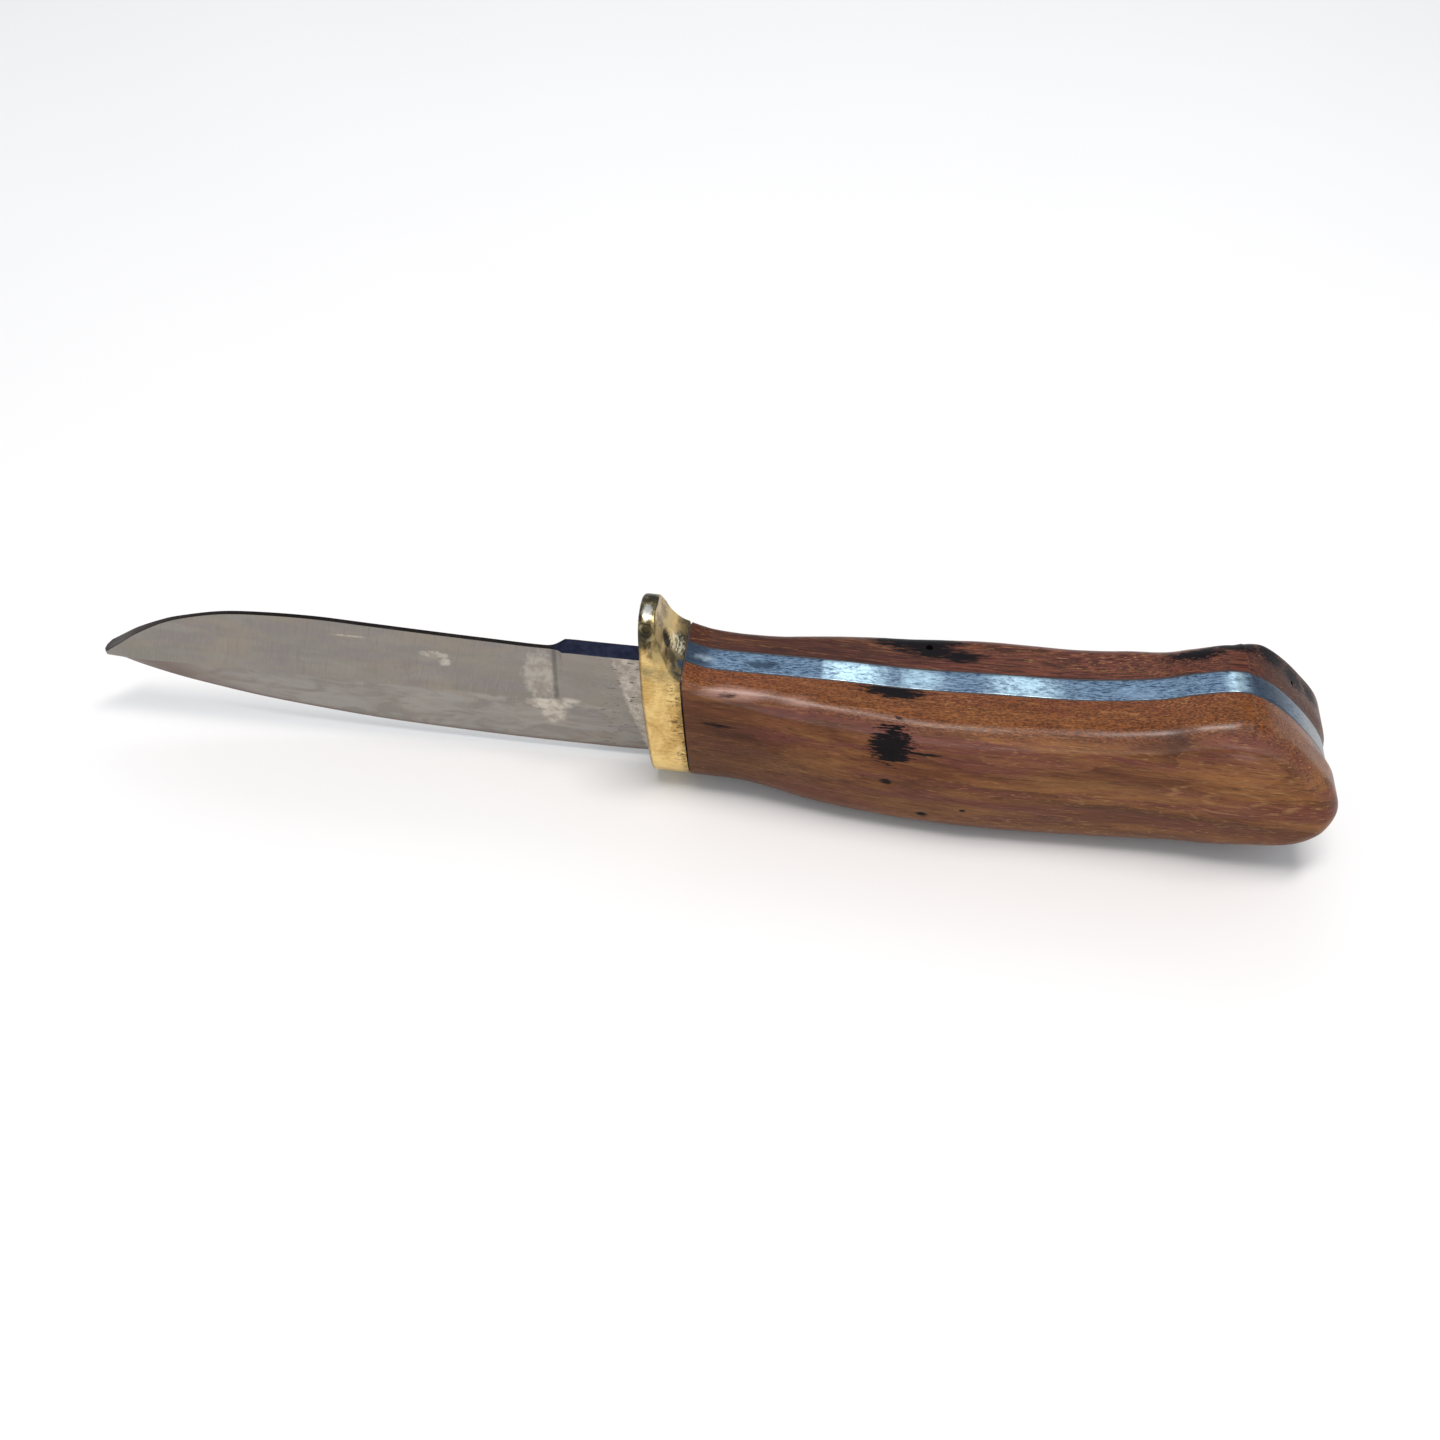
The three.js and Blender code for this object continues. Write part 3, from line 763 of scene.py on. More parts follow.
    def ramp(self, value, stops):
        made = self.node("ShaderNodeValToRGB")
        self.put(made.inputs[0], value)
        elements = made.color_ramp.elements
        while len(elements) < len(stops):
            elements.new(0.5)
        for element, (at, colour) in zip(elements, stops):
            element.position = at
            element.color = (*colour, 1)
        return made.outputs[0]

    def bump(self, height, strength, distance, normal=None):
        made = self.node("ShaderNodeBump")
        made.inputs["Strength"].default_value = strength
        made.inputs["Distance"].default_value = distance * MM
        self.put(made.inputs["Height"], height)
        if normal is not None:
            self.put(made.inputs["Normal"], normal)
        return made.outputs[0]

    def finish(self, roughness, normal=None, metallic=0.0, **sockets):
        self.put(self.shader.inputs["Base Color"], self.colour)
        self.put(self.shader.inputs["Roughness"], roughness)
        self.shader.inputs["Metallic"].default_value = metallic
        if normal is not None:
            self.put(self.shader.inputs["Normal"], normal)
        for name, value in sockets.items():
            self.put(self.shader.inputs[name.replace("_", " ")], value)
        return self.material

    def most(self, *values):
        best = values[0]
        for value in values[1:]:
            best = self.math("MAXIMUM", best, value)
        return best


def steel_material():
    g = Graph("satin_steel")
    side = g.span(g.math("ABSOLUTE", g.ny), 0.5, 0.8)
    is_blade = g.span(g.x, 4, 2)
    upward = g.span(g.nz, 0.3, 0.46)

    # Cloudy tints left by the finishing: tan, lilac and a greenish grey.
    cloud = g.clouds((0.05, 0.3, 0.16), 4, 0.6, 0.4)
    tan = g.clouds((0.07, 0.3, 0.2), 4, 0.6, 0.8, shift=(9, 2, 5))
    lilac = g.clouds((0.08, 0.3, 0.22), 3, 0.6, 0.8, shift=(4, 7, 1))
    g.colour = g.mix(g.span(cloud, 0.34, 0.66), (0.25, 0.234, 0.203), (0.33, 0.305, 0.272))
    g.lay((0.335, 0.28, 0.225), g.span(tan, 0.44, 0.68, 0, 0.6))
    g.lay((0.262, 0.226, 0.228), g.span(lilac, 0.44, 0.68, 0, 0.6))

    # Below the bevel line the steel is a little paler and mottled along the blade.
    streaks = g.clouds((0.11, 1, 0.24), 3, 0.55, 1.2, shift=(3, 1, 8))
    lower = g.mul(g.span(g.z, -13.1, -14.2), g.span(g.x, -96, -80, 0.3, 1))
    g.lay((0.385, 0.362, 0.335), g.mul(lower, g.span(streaks, 0.36, 0.66, 0, 0.7)))
    g.lay((0.25, 0.215, 0.21), g.mul(lower, g.span(streaks, 0.5, 0.34, 0, 0.45)))

    # Pale etched patches at the plunge, on the flat and next to the guard.
    torn = g.fray(1.6, (0.8, 1, 0.8), 5, 0.7)
    patches = [
        g.mul(g.near(place, size, edge, g.mul(torn, fray)), share)
        for place, size, edge, fray, share in (
            ((-18, 0, -7.6), (3.8, 9, 7.4), 0.6, 0.7, 0.5),        # column below the spine
            ((-16.8, 0, -14.8), (5.2, 9, 2.3), 0.6, 0.5, 1),       # arrow along the bevel line
            ((-16, 0, -17.6), (2.9, 9, 4.2), 0.5, 0.55, 0.95),     # spur below it
            ((-12.6, 0, -13.1), (2.6, 9, 1.2), 0.3, 0.8, 0.9),       # barb behind it
            ((-37.8, 0, -4.9), (3.4, 9, 1.1), 0.35, 1, 0.75),      # two flecks on the flat
            ((-35.8, 0, -6.4), (1.7, 9, 1.2), 0.35, 1, 0.8),
            ((-53.7, 0, -2.3), (4.6, 9, 0.3), 0.3, 0.5, 0.8),        # line below the spine
        )
    ]
    wedge = g.add(g.add(g.x, g.mul(g.z, 0.23)), g.mul(torn, 1.6))
    frost = g.mul(g.span(wedge, -4.8, -3.8), 0.9)
    pale = g.mul(g.most(*patches, frost), side)
    dusty = g.clouds((0.5, 1, 0.5), 4, 0.65, shift=(3, 3, 3))
    pale_colour = g.mix(g.span(dusty, 0.38, 0.6), (0.44, 0.385, 0.33), (0.66, 0.61, 0.53))
    g.spot((0.215, 0.21, 0.19), 0.4, (-9.6, 0, -7), (4.4, 9, 7.5), 0, torn)
    g.lay(pale_colour, pale)

    # Fine grinding scratches: slanting across the upper grind, every way on the ricasso.
    slanted = (g.add(g.x, g.mul(g.z, -0.22)), g.y, g.z)
    lined = g.fill(g.node("ShaderNodeCombineXYZ"), slanted).outputs[0]
    across = g.clouds((7, 1, 0.35), 5, 0.7, vector=lined)
    across2 = g.clouds((2.4, 1, 0.14), 3, 0.6, shift=(1, 4, 2), vector=lined)
    along = g.clouds((0.35, 3, 8), 5, 0.7)
    on_ricasso = g.span(g.x, -14.8, -14)
    every_way = g.clouds((2.2, 2, 7), 4, 0.7)
    scratch = g.mix(on_ricasso, across, every_way)
    g.lay((0.46, 0.43, 0.39), g.span(scratch, 0.5, 0.72), 0.35)
    upper = g.mul(g.span(g.z, -14, -12.5), g.span(g.x, -14.6, -15.6))
    g.lay((0.2, 0.18, 0.165), g.mul(g.span(across2, 0.54, 0.72), upper, 0.32))
    nicks = g.clouds((0.7, 1, 3.2), 2, 0.4, shift=(7, 1, 3))
    nick_zone = g.mul(g.span(g.x, -9, -4), g.span(nicks, 0.65, 0.7))
    g.lay((0.05, 0.048, 0.05), nick_zone, 0.8)

    # The plunge's arris is a dark line; along the very edge a warm, reddish line is painted reflection,
    # and the faces that look down get painted dark reddish shade.
    arris = g.mul(g.span(g.x, -15.9, -15.1), g.span(g.x, -14.3, -14.9))
    arris = g.mul(arris, g.span(g.z, -13.4, -12), side)
    g.lay((0.085, 0.078, 0.07), arris, 0.55)
    # Painted reflection: a warm, reddish line along the very edge.
    g.spot((0.33, 0.21, 0.17), 0.5, (-12, 0, -27.6), (75, 9, 1.2), 0.3)
    g.spot((0.17, 0.115, 0.075), 0.5, (-94, 0, -18.2), (6, 9, 1), 0.2, torn)
    # Painted shade: the blade's faces that look down are tinted dark reddish.
    g.lay((0.16, 0.1, 0.075), g.mul(g.span(g.nz, -0.12, -0.3), is_blade), 0.8)

    # Spine: blue-black on the ricasso, brown-black ahead of it and browner at the point.
    freckle = g.clouds((0.5, 0.5, 0.5), 3, 0.6)
    blued = g.mix(g.span(freckle, 0.3, 0.7), (0.012, 0.014, 0.03), (0.026, 0.029, 0.054))
    browned = g.mix(g.span(g.x, -62, -96), (0.016, 0.013, 0.012), (0.05, 0.034, 0.03))
    browned = g.over(browned, (0.035, 0.03, 0.03), g.span(freckle, 0.45, 0.7, 0, 0.5))
    spine = g.mix(g.span(g.x, -16, -14.5), browned, blued)
    nose = g.near((-103.3, 0, -12.9), (0.8, 9, 1.1), 0.5)
    g.lay(spine, g.mul(g.most(upward, nose), is_blade))

    # Tang edge: brushed steel whose blue colour is painted reflection of the sky, with painted white
    # glare mottled over the patches where it was polished.
    brushed = g.clouds((0.7, 4.5, 2), 6, 0.75)
    mottled = g.clouds((0.75, 1.5, 1), 5, 0.72, 0.6, shift=(4, 4, 4))
    ribbon = g.mix(g.span(brushed, 0.4, 0.58), (0.022, 0.045, 0.085), (0.185, 0.262, 0.355))
    patchy = g.clouds((0.16, 0.5, 0.5), 4, 0.65, shift=(6, 4, 4))
    ribbon = g.over(ribbon, (0.24, 0.33, 0.43), g.span(patchy, 0.48, 0.66, 0, 0.35))
    begins = g.span(g.add(g.x, torn), 33.6, 34.3)
    # Painted white glare on the polished patches, which are also a little smoother.
    polish_and_glare = g.most(*[
        g.mul(g.near((x, 0, z), (long, 9, 9), edge, g.mul(torn, fray)), share)
        for x, z, long, edge, fray, share in (
            (39, 0.6, 9.5, 0.2, 0.6, begins), (51.5, 0.6, 6, 0.2, 0.8, 0.55),
            (70, 1.3, 8.5, 0.3, 0.6, 0.75), (105.8, 7.7, 2.4, 0.1, 1, 0.9),
        )
    ])
    ribbon = g.over(ribbon, (0.55, 0.74, 0.84), g.mul(polish_and_glare, g.span(mottled, 0.36, 0.56, 0.2, 1)))
    ribbon = g.over(ribbon, (0.5, 0.62, 0.7), g.span(mottled, 0.62, 0.7), 0.4)
    stain = g.near((23.2, -0.4, 0.5), (4.4, 1.5, 3), 0.35, torn)
    ribbon = g.over(ribbon, (0.025, 0.04, 0.065), stain, 0.85)
    shaded = g.mul(g.span(g.x, 107.5, 109.5), g.span(g.x, 119, 113))
    ribbon = g.over(ribbon, (0.04, 0.06, 0.095), shaded, 0.65)
    # Painted paler, greyer reflection where the edge turns down the butt.
    down_butt_reflection = g.mul(g.span(g.z, 3, -3), g.span(g.x, 112, 119))
    ribbon = g.over(ribbon, (0.3, 0.31, 0.315), down_butt_reflection, 0.85)
    # The painted reflection darkens near the guard.
    dark_reflection_at_guard = g.span(g.x, 15.5, 12.5)
    ribbon = g.over(ribbon, (0.045, 0.065, 0.1), dark_reflection_at_guard, 0.8)
    # Painted pale glare where the edge curls up before the guard.
    curl_glare = g.near((12.6, -0.3, 0.9), (3.4, 1.2, 3), 0, torn)
    ribbon = g.over(ribbon, (0.36, 0.45, 0.52), curl_glare, 0.7)
    on_tang = g.span(g.x, 8.5, 9.2)
    g.lay(ribbon, on_tang)

    rough_blade = g.span(g.add(cloud, g.mul(scratch, 0.4)), 0.5, 0.9, 0.4, 0.55)
    rough_blade = g.add(rough_blade, g.mul(pale, 0.16))
    rough_tang = g.add(g.span(mottled, 0.35, 0.65, 0.42, 0.3), g.mul(polish_and_glare, -0.04))
    roughness = g.mix(on_tang, rough_blade, rough_tang, "FLOAT")

    relief = g.mix(on_tang, g.mix(g.span(g.z, -13, -14), scratch, along), brushed)
    normal = g.bump(relief, 0.35, 0.02)
    normal = g.bump(g.clouds((0.25, 0.25, 0.25), 2, 0.5), 0.3, 0.08, normal)
    return g.finish(roughness, normal, metallic=1)


def brass_material():
    g = Graph("filed_brass")
    cloud = g.clouds((0.3, 0.35, 0.16), 4, 0.6, 0.5)
    fine = g.clouds((0.55, 3, 6.5), 5, 0.78)
    g.colour = g.mix(g.span(cloud, 0.38, 0.62), (0.58, 0.37, 0.12), (0.8, 0.57, 0.23))
    g.lay((0.95, 0.76, 0.4), g.span(fine, 0.52, 0.66), 0.6)
    g.lay((0.3, 0.165, 0.045), g.span(fine, 0.47, 0.35), 0.75)
    low = g.mul(g.span(g.z, -14, -22), g.span(fine, 0.4, 0.6, 0.3, 0.8))
    g.lay((0.93, 0.7, 0.28), low)

    torn = g.fray(1.7, (0.9, 0.9, 0.9), 5, 0.7)
    back = g.add(g.x, g.mul(g.z, RAKE))
    pits = g.clouds((0.7, 0.6, 1.7), 5, 0.72, 0.8)
    pitted = (g.span(g.z, 2.5, 0), g.span(g.z, -26, -17))
    pit_mask = g.mul(g.span(pits, 0.54, 0.6), g.span(back, 5.2, 8.2), *pitted)
    g.lay((0.07, 0.045, 0.018), pit_mask, 0.85)
    old = g.mul(g.span(back, 7.6, 9), g.span(torn, -0.35, 0.15))
    g.lay((0.16, 0.1, 0.04), old, 0.65)
    # Painted shade: a dark brown line along the rounded front edge.
    front_edge_shade = g.mul(g.span(back, 2.7, 2.1), g.span(torn, -0.4, 0.2, 0.4, 0.9))
    g.lay((0.2, 0.125, 0.045), front_edge_shade)

    # Olive and black patina on the finger and round its arris, tan in the hollow of the ramp; painted
    # light too: a white glare on the finger, bright sparkle on the chewed foot of the ramp and a blue
    # reflection beside it.
    finger = g.span(g.add(g.z, g.mul(torn, 2.2)), 5.6, 8.2)
    patina = g.clouds((0.55, 0.5, 0.4), 5, 0.7, 0.6, shift=(3, 1, 6))
    olive = g.ramp(patina, [
        (0.4, (0.02, 0.018, 0.013)), (0.5, (0.07, 0.062, 0.038)), (0.57, (0.22, 0.18, 0.1)),
        (0.66, (0.5, 0.45, 0.32)),
    ])
    g.lay(olive, finger, 0.92)
    g.spot((0.06, 0.045, 0.022), 0.85, (4.4, -6.4, 6.4), (1.6, 2, 2.2), 0.2, torn)
    arris = g.spot((0.03, 0.028, 0.022), 0.85, (4.8, -3.8, 8), (0.9, 3.8, 4.6), 0.2, g.mul(torn, 0.8))
    g.spot((0.03, 0.027, 0.02), 0.85, (3.6, 2.4, 12.8), (2.8, 2.4, 1.8), 0.3, torn)
    g.spot((0.035, 0.032, 0.028), 0.85, (2.4, -4.6, 9.6), (1.4, 1.8, 1.6), 0.3, torn)
    # Painted highlight: a white glare on the top of the finger.
    g.spot((0.5, 0.5, 0.47), 0.95, (2.4, -1.8, 12.4), (1.2, 2.1, 1.8), 0.4, torn)
    ramp = g.mul(g.span(back, 4.1, 4.7), g.span(g.z, 2.4, 3.6))
    tan = g.mul(ramp, g.span(g.z, 3.6, 5.6), g.span(g.z, 12.8, 11.6))
    g.lay((0.5, 0.37, 0.16), g.mul(tan, g.span(patina, 0.38, 0.54, 0.35, 0.95)))
    low_ramp = g.mul(g.span(g.z, 4.6, 3), g.span(g.z, 0.8, 1.4), g.span(g.nz, 0.15, 0.45))
    g.lay((0.06, 0.056, 0.048), g.mul(low_ramp, g.span(patina, 0.36, 0.6, 0.95, 0.5)))
    g.spot((0.05, 0.038, 0.022), 0.85, (6.9, -3.4, 3.9), (2.3, 2.4, 2.8), 0.3, torn)
    g.spot((0.035, 0.032, 0.026), 0.85, (8.4, 2.2, 2.8), (1.6, 2.6, 1.6), 0.2, torn)
    gouge = g.spot((0.02, 0.016, 0.012), 0.95, (6.1, -1.2, 5.8), (2.5, 2.1, 2.5), 0.5, g.mul(torn, 0.6))
    nips = g.clouds((2, 1, 2.2), 4, 0.65)
    # Chewed metal at the foot of the ramp, with painted bright sparkle on its nicks.
    chewed_sparkle = g.near((7.6, 0.2, 3.5), (2.8, 3, 3.2), 0.3, torn)
    g.lay((0.92, 0.86, 0.62), g.mul(chewed_sparkle, g.span(nips, 0.48, 0.56)), 0.95)
    # Painted reflection: a dark blue spot at the rear foot of the ramp.
    g.spot((0.045, 0.085, 0.15), 0.9, (8.6, -3.6, 1.9), (1.1, 1.7, 2), 0.2, g.mul(torn, 0.6))

    roughness = g.span(fine, 0.3, 0.7, 0.26, 0.42)
    roughness = g.add(roughness, g.mul(g.most(pit_mask, gouge, arris), 0.25))
    relief = g.add(g.mul(fine, 0.5), g.mul(g.most(pit_mask, g.mul(chewed_sparkle, nips)), -0.9))
    normal = g.bump(relief, 0.5, 0.05)
    normal = g.bump(g.clouds((0.6, 0.5, 0.45), 3, 0.5), 0.5, 0.2, normal)
    return g.finish(roughness, normal, metallic=1)


def wood_material(side):
    """Oiled reddish hardwood, with growth layers, pores, pale flecks and black burl marks."""
    g = Graph("oiled_wood_" + side)
    left = side == "left"
    drift = g.clouds((0.012, 0.06, 0.06), 3, 0.5, shift=(2, 7, 1))
    ripple = g.clouds((0.05, 0.4, 0.4), 4, 0.6)
    layer = g.add(g.mul(g.z, 0.15), g.mul(g.y, 0.11 if left else 0.3))
    layer = g.add(layer, g.mul(g.x, 0.008))
    layer = g.add(layer, g.mul(drift, 2.6))
    layer = g.add(layer, g.mul(ripple, 0.6))
    if left:
        for place, size, rise in (
            ((73, -13, -4.8), (24, 30, 7), 1.7), ((106, -13, -2.5), (20, 30, 8), 2.1),
            ((24, -10, -15), (24, 30, 8), 1.1),
        ):
            layer = g.add(layer, g.mul(g.near(place, size, 0), rise))
    ring = g.math("FRACT", layer)
    late = g.mul(g.span(ring, 0.3, 0.92), g.span(ring, 1, 0.93))
    broad = g.clouds((0.03, 0.14, 0.14), 4, 0.6, shift=(5, 5, 5))

    g.colour = g.mix(g.span(broad, 0.4, 0.6), (0.14, 0.045, 0.018), (0.25, 0.098, 0.036))
    g.lay((0.09, 0.03, 0.014), late, 0.74)
    warm = g.clouds((0.035, 0.22, 0.22), 4, 0.65, shift=(1, 8, 3))
    g.lay((0.31, 0.13, 0.04), g.span(warm, 0.45, 0.63, 0, 0.6))
    plum = g.clouds((0.03, 0.25, 0.25), 4, 0.65, shift=(8, 3, 6))
    g.lay((0.16, 0.045, 0.036), g.span(plum, 0.47, 0.6, 0, 0.75))

    if left:
        soft = g.fray(2.2, (0.05, 0.5, 0.5), 4, 0.6, (2, 9, 4))
        for place, size, tint, share in (
            ((84, -12, -9.5), (30, 20, 4.2), (0.29, 0.135, 0.048), 0.6),
            ((66, -11, -3.6), (30, 20, 2.6), (0.175, 0.052, 0.045), 0.7),
            ((107, -12, -2), (13, 20, 4.6), (0.35, 0.145, 0.048), 0.6),
            ((97, -12, -15.5), (34, 20, 1.6), (0.085, 0.034, 0.016), 0.7),
            ((30, -10, -14), (13, 20, 4.6), (0.19, 0.088, 0.034), 0.5),
            ((26, -9, -4), (12, 20, 2.6), (0.24, 0.085, 0.034), 0.6),
            ((104, -12, 4.6), (10, 20, 2.6), (0.22, 0.072, 0.046), 0.6),
        ):
            zone = g.near(place, size, 0.1, soft)
            g.lay(tint, zone, share)

    # The top strips show granular end fibres, orange on the left scale and plum on the right.
    strip = g.span(g.nz, 0.5, 0.85)
    grains = g.clouds((1.5, 3.6, 3.6), 4, 0.72)
    fibre_top = g.clouds((0.16, 3, 3), 5, 0.75, shift=(7, 7, 2))
    if left:
        grain_colour = g.mix(g.span(grains, 0.42, 0.58), (0.04, 0.01, 0.004), (0.225, 0.07, 0.018))
        g.lay(grain_colour, strip, 0.75)
    else:
        fibrous = g.span(fibre_top, 0.42, 0.58)
        grain_colour = g.mix(fibrous, (0.022, 0.007, 0.008), (0.14, 0.042, 0.028))
        forward = g.span(g.x, 62, 40)
        grain_colour = g.over(grain_colour, (0.018, 0.007, 0.008), forward, 0.6)
        g.lay(grain_colour, strip, 0.85)
        g.lay((0.036, 0.014, 0.012), g.span(g.x, 106, 118), 0.75)
    g.lay((0.125, 0.056, 0.03), g.span(g.z, -9, -24), 0.5)
    if left:
        front = g.mul(g.span(g.x, 36, 12), g.span(g.z, -1, -8))
        g.lay((0.07, 0.028, 0.013), front, 0.6)

    # Fibres: fine dark streaks, and short pale flecks and hair lines along the grain.
    fibre = g.clouds((0.14, 3.4, 3.4), 5, 0.7)
    g.lay((0.055, 0.019, 0.009), g.span(fibre, 0.48, 0.34), 0.7)
    g.lay((0.36, 0.165, 0.065), g.span(fibre, 0.54, 0.68), 0.36)
    fleck = g.clouds((0.5, 4.2, 4.2), 2, 0.5, shift=(6, 2, 9))
    rearward = g.span(g.x, 30, 90, 0.35, 1)
    flecks = g.mul(g.span(fleck, 0.6, 0.68), g.span(broad, 0.38, 0.56), rearward)
    g.lay((0.47, 0.25, 0.11), flecks, 0.55)
    line = g.mul(g.span(ring, 0.93, 0.965), g.span(ring, 1, 0.975))
    broken = g.clouds((0.3, 1, 1), 3, 0.6, shift=(3, 1, 1))
    g.lay((0.36, 0.17, 0.06), g.mul(line, g.span(broken, 0.46, 0.6)), 0.4)

    # Painted pinkish highlights where the front of the shoulder and the butt's facet catch the light.
    if left:
        for place, size, share in (
            ((19.5, -7.3, 0), (8.5, 2.3, 1.2), 0.6), ((30, -8.3, -0.1), (6, 2.2, 1), 0.4),
            ((107, -9.8, 3.2), (5.8, 3.8, 2.8), 0.5),
        ):
            g.lay((0.5, 0.3, 0.25), g.near(place, size, 0, soft), share)
        # The loop of end grain before the butt, outlined by two fine pale lines.
        loop = g.near((108, -12.5, -8.5), (15, 40, 5.6), 0, g.mul(soft, 0.25))
        for low, high in ((0.1, 0.3), (0.6, 0.85)):
            rim = g.mul(g.span(loop, low, (low + high) / 2), g.span(loop, high, (low + high) / 2))
            g.lay((0.44, 0.235, 0.1), g.mul(rim, g.span(broken, 0.4, 0.56), 0.5))
        g.lay((0.26, 0.1, 0.03), loop, 0.35)

    # Black burl marks, drawn out along the grain.
    ragged = g.fray(2.6, (0.3, 2.6, 2.6), 3, 0.7)
    if left:
        marks = [
            ((47.5, -12, -4.8), (4, 5, 4.7), 0.8), ((52.5, -12.5, -5.4), (6, 4, 0.5), 0.4),
            ((46.8, -3.8, 0.6), (7.6, 1.9, 2.4), 0.6), ((47.4, -12.7, -14.2), (1.6, 4, 1.1), 0.2),
            ((55, -12.7, -22.7), (1.3, 4, 1), 0.3), ((120.2, -9.5, -2.6), (0.9, 3, 1.7), 0.1),
            ((122.8, -9.5, -7), (0.6, 3, 2), 0), ((17.5, -9.3, -0.2), (2.2, 3, 0.7), 0.2),
            ((62.1, -13.3, -19.5), (0.8, 4, 0.7), 0.2), ((16, -9.2, -7.5), (4.4, 4, 0.7), 0.1),
        ]
        softer = [((95.8, -10.5, 3.6), (3.8, 4, 2.6), 0.1), ((20, -9, -9.5), (8, 4, 1.6), 0.1)]
    else:
        marks = [
            ((51, 9.8, 0), (9.5, 3.6, 3.4), 0.7), ((53.5, 7.2, 0.6), (6.8, 2.2, 2.4), 0.5),
            ((58.5, 6.2, 0.8), (6.5, 1.9, 2), 0.4), ((99.5, 7.4, 6.2), (8.6, 2.2, 3), 0.5),
            ((106.5, 9.8, 7.4), (7, 2.8, 3), 0.5), ((113.5, 10, 4.8), (5.6, 3.2, 4.2), 0.4),
            ((118.2, 8.8, 0.6), (4.4, 3.4, 4.6), 0.4), ((122.3, 9.4, -4.6), (3.2, 3, 5.4), 0.4),
            ((80, 13, -12), (4.5, 4, 2.6), 0.3), ((30, 10.5, -17), (2.2, 4, 1.2), 0.2),
        ]
        softer = [((84, 13, -13), (9, 4, 3.4), 0.1), ((70, 9, 0), (9, 2.5, 2), 0.1),
                  ((112, 7, 5), (11, 4, 5), 0.1)]
    black = g.most(*[g.near(place, size, edge, g.mul(ragged, 0.85)) for place, size, edge in marks])
    smoky = g.most(*[g.near(place, size, edge, g.mul(ragged, 0.6)) for place, size, edge in softer])
    g.lay((0.035, 0.012, 0.009), smoky, 0.6)
    g.lay((0.004, 0.004, 0.006), black, 0.98)

    roughness = g.span(fibre, 0.3, 0.7, 0.29, 0.4)
    roughness = g.add(roughness, g.mul(black, 0.12))
    pores = g.clouds((0.5, 5, 5), 3, 0.6, shift=(2, 2, 2))
    pore = g.span(pores, 0.38, 0.3)
    relief = g.add(g.mul(fibre, 0.6), g.mul(pore, -0.9))
    relief = g.add(relief, g.mul(strip, grains, 0.7))
    normal = g.bump(relief, 0.45, 0.06)
    normal = g.bump(g.clouds((0.1, 0.25, 0.25), 2, 0.5), 0.3, 0.4, normal)
    g.lay((0.03, 0.01, 0.006), pore, 0.5)
    turned = g.mul(g.span(g.nz, 0.08, 0.4), g.span(g.nz, 0.97, 0.8))
    shine = g.span(turned, 0, 1, 0.1, 0.9 if left else 0.16)
    polish_and_glare = g.mul(g.mul(shine, g.span(black, 1, 0, 0.1, 1)), g.span(g.x, 110, 116, 1, 0.3))
    return g.finish(
        roughness, normal, Specular_IOR_Level=0.06, Coat_Weight=polish_and_glare, Coat_Roughness=0.27,
    )


def solder_material():
    g = Graph("dull_solder")
    cloud = g.clouds((1.2, 1.2, 1.2), 4, 0.65)
    g.colour = g.mix(g.span(cloud, 0.3, 0.7), (0.2, 0.19, 0.18), (0.42, 0.41, 0.39))
    g.lay((0.08, 0.06, 0.04), g.span(g.clouds((3, 3, 3), 3), 0.58, 0.7, 0, 0.6))
    normal = g.bump(cloud, 0.6, 0.08)
    return g.finish(g.span(cloud, 0.3, 0.7, 0.35, 0.55), normal, metallic=1)


def epoxy_material():
    g = Graph("dark_epoxy")
    cloud = g.clouds((0.6, 2, 2), 4, 0.6)
    g.colour = g.mix(g.span(cloud, 0.3, 0.7), (0.012, 0.01, 0.014), (0.045, 0.026, 0.024))
    normal = g.bump(cloud, 0.5, 0.08)
    return g.finish(g.span(cloud, 0.3, 0.7, 0.3, 0.5), normal)


def pin_material():
    g = Graph("ground_pin_steel")
    turned = g.clouds((1, 12, 1), 4, 0.7)
    g.colour = g.mix(g.span(turned, 0.3, 0.7), (0.36, 0.36, 0.36), (0.56, 0.56, 0.55))
    return g.finish(g.span(turned, 0.3, 0.7, 0.28, 0.42), g.bump(turned, 0.3, 0.02), metallic=1)


def floor_material():
    g = Graph("pale_floor")
    cloud = g.clouds((0.01, 0.01, 0.01), 3, 0.5)
    g.colour = g.mix(cloud, (0.86, 0.86, 0.86), (0.89, 0.89, 0.885))
    return g.finish(0.9)


# ---- the knife ----

def dress(piece, material, slot, *nodes):
    """Gives a piece its material and its body, and hides the CAD nodes that it stands for."""
    piece.data.materials.clear()
    piece.data.materials.append(material)
    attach(piece, "root")
    if nodes:
        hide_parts(*nodes)
    return piece


steel, brass, epoxy = steel_material(), brass_material(), epoxy_material()
dress(blade_and_tang(TANG_OUTLINE), steel, "steel", "blade_and_tang")
dress(guard_brass(), brass, "brass", "guard")
dress(solder_fill(), solder_material(), "solder", "guard_solder")
dress(wood_scale("left_scale_wood", -1), wood_material("left"), "wood", "scale_left")
dress(wood_scale("right_scale_wood", 1), wood_material("right"), "wood", "scale_right")
GROOVE = 0.06    # softened rim of the glue lines
for side, sign in (("left", -1), ("right", 1)):
    line = plate("glue_line_" + side, TANG_OUTLINE, sign * STOCK / 2, sign * SCALE_INNER, GROOVE)
    dress(line, epoxy, "epoxy", "glue_layer_" + side)
dress(seam_epoxy(), epoxy, "epoxy")

pins = pin_material()
for name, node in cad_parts.items():
    if name.startswith("hidden_pin"):
        node.data.materials.clear()
        node.data.materials.append(pins)


# ---- floor, light and camera ----

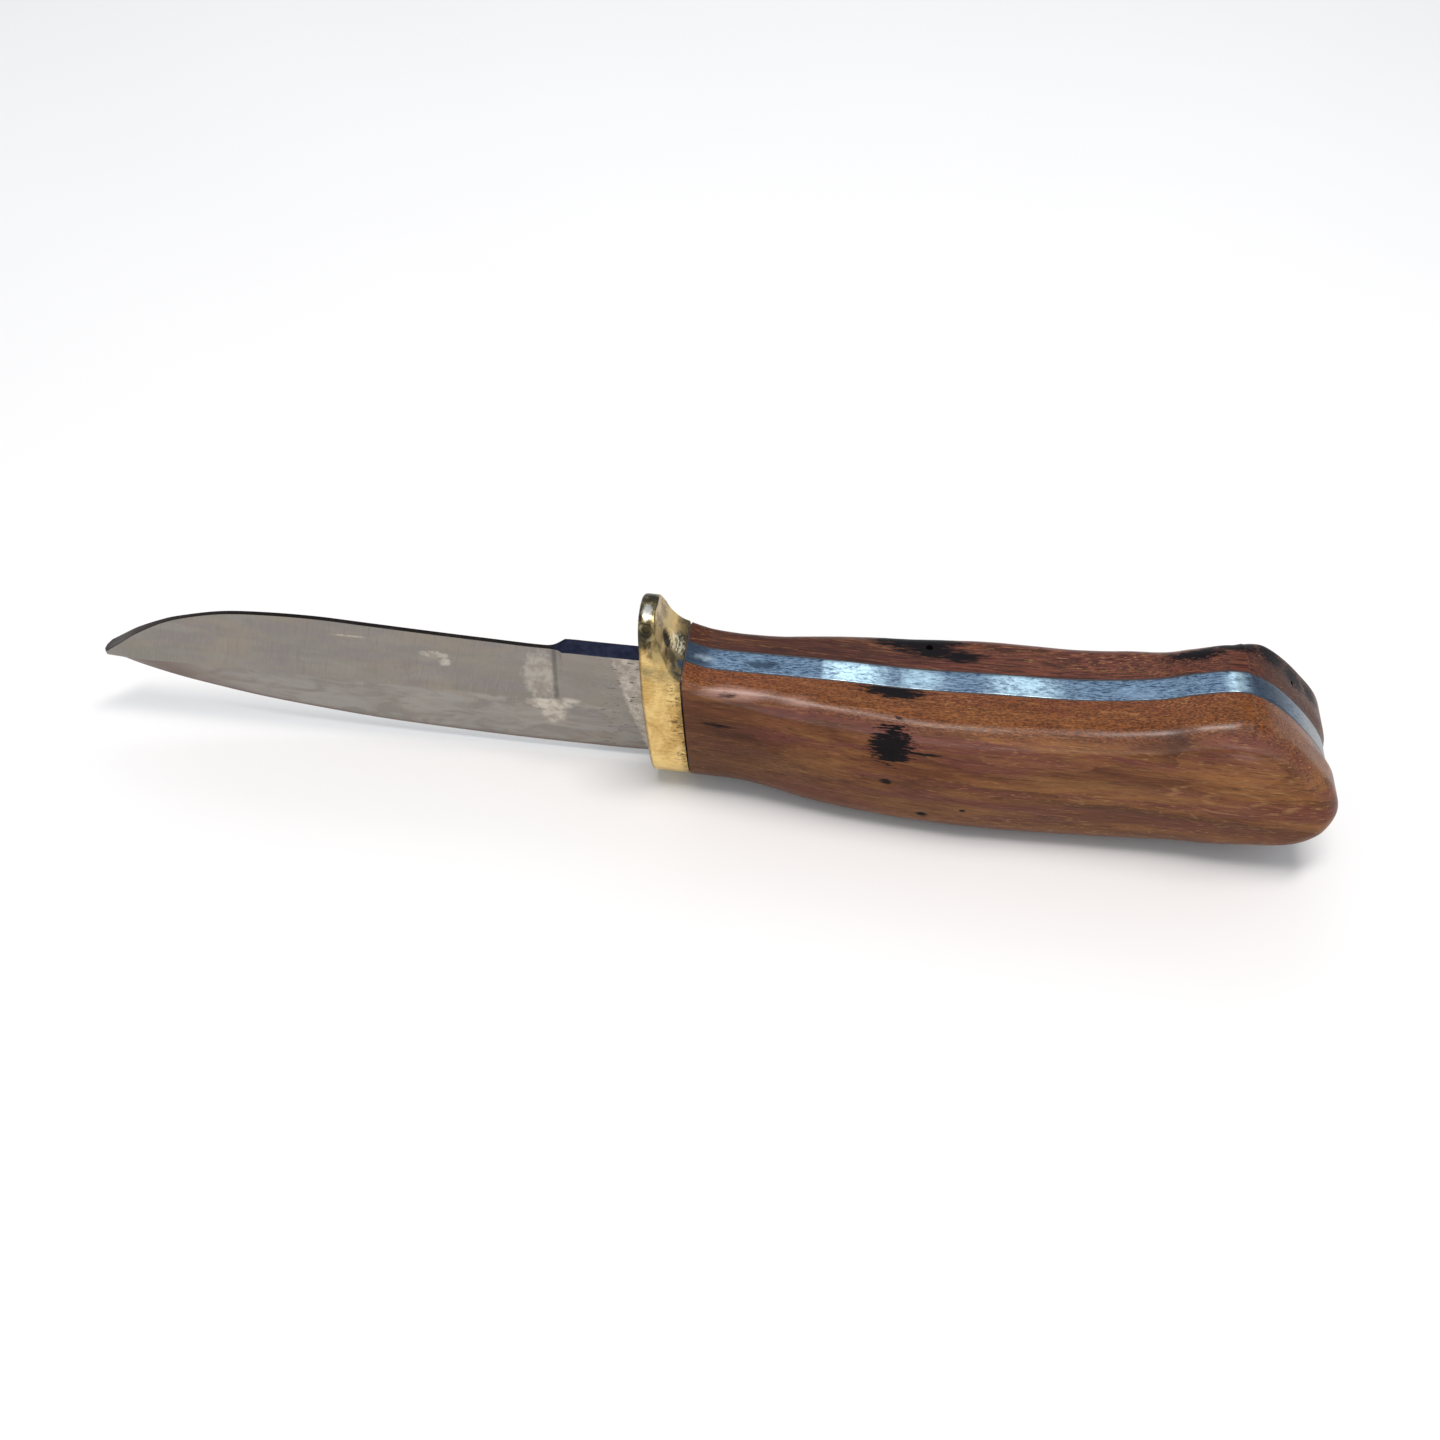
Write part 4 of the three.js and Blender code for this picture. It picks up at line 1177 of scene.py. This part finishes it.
def make_floor():
    mesh = bpy.data.meshes.new("floor")
    reach, below = 3.0, 0.0002
    corners = [(-reach, -reach, 0), (reach, -reach, 0), (reach, reach, 0), (-reach, reach, 0)]
    mesh.from_pydata(corners, [], [(0, 1, 2, 3)])
    floor = bpy.data.objects.new("floor", mesh)
    floor.location.z = CAD_BOX[0].z - below
    mesh.materials.append(floor_material())
    bpy.context.scene.collection.objects.link(floor)


def area_light(name, place, target, size, power, colour):
    light = bpy.data.lights.new(name, "AREA")
    light.shape = "RECTANGLE"
    light.size, light.size_y = size
    light.energy = power
    light.color = colour
    obj = bpy.data.objects.new(name, light)
    obj.location = place
    obj.rotation_euler = (Vector(target) - Vector(place)).to_track_quat("-Z", "Y").to_euler()
    bpy.context.scene.collection.objects.link(obj)


def make_lights():
    world = bpy.data.worlds.new("soft_sky")
    world.use_nodes = True
    background = world.node_tree.nodes["Background"]
    background.inputs["Color"].default_value = (0.9, 0.95, 1.0, 1)
    background.inputs["Strength"].default_value = 0.62
    bpy.context.scene.world = world
    middle = (0.0, 0.0, 0.015)
    area_light("overhead", (0.05, -0.06, 0.75), middle, (0.5, 0.12), 3.8, (1.0, 0.93, 0.89))
    area_light("back_sky", (-0.06, 0.62, 0.72), middle, (0.6, 0.25), 0.7, (0.86, 0.94, 1.0))


def make_camera():
    """The photograph's own viewpoint, as fitted to the knife's size and outline."""
    camera = bpy.data.cameras.new("camera")
    camera.sensor_width, camera.lens = 36.0, 37.33
    camera.clip_start, camera.clip_end = 0.01, 20.0
    obj = bpy.data.objects.new("camera", camera)
    bpy.context.scene.collection.objects.link(obj)
    azimuth, elevation, roll = (math.radians(a) for a in (5.06, 49.16, 1.96))
    level = math.cos(elevation)
    back = Vector((math.sin(azimuth) * level, -math.cos(azimuth) * level, math.sin(elevation)))
    turn = (-back).to_track_quat("-Z", "Y").to_matrix() @ Matrix.Rotation(roll, 3, "Z")
    obj.rotation_euler = turn.to_euler()
    from_guard = Vector((32.085, -184.299, 197.740))
    obj.location = ORIGIN + from_guard * MM
    bpy.context.scene.camera = obj


make_floor()
make_lights()
make_camera()
bpy.context.scene.view_settings.view_transform = "Standard"
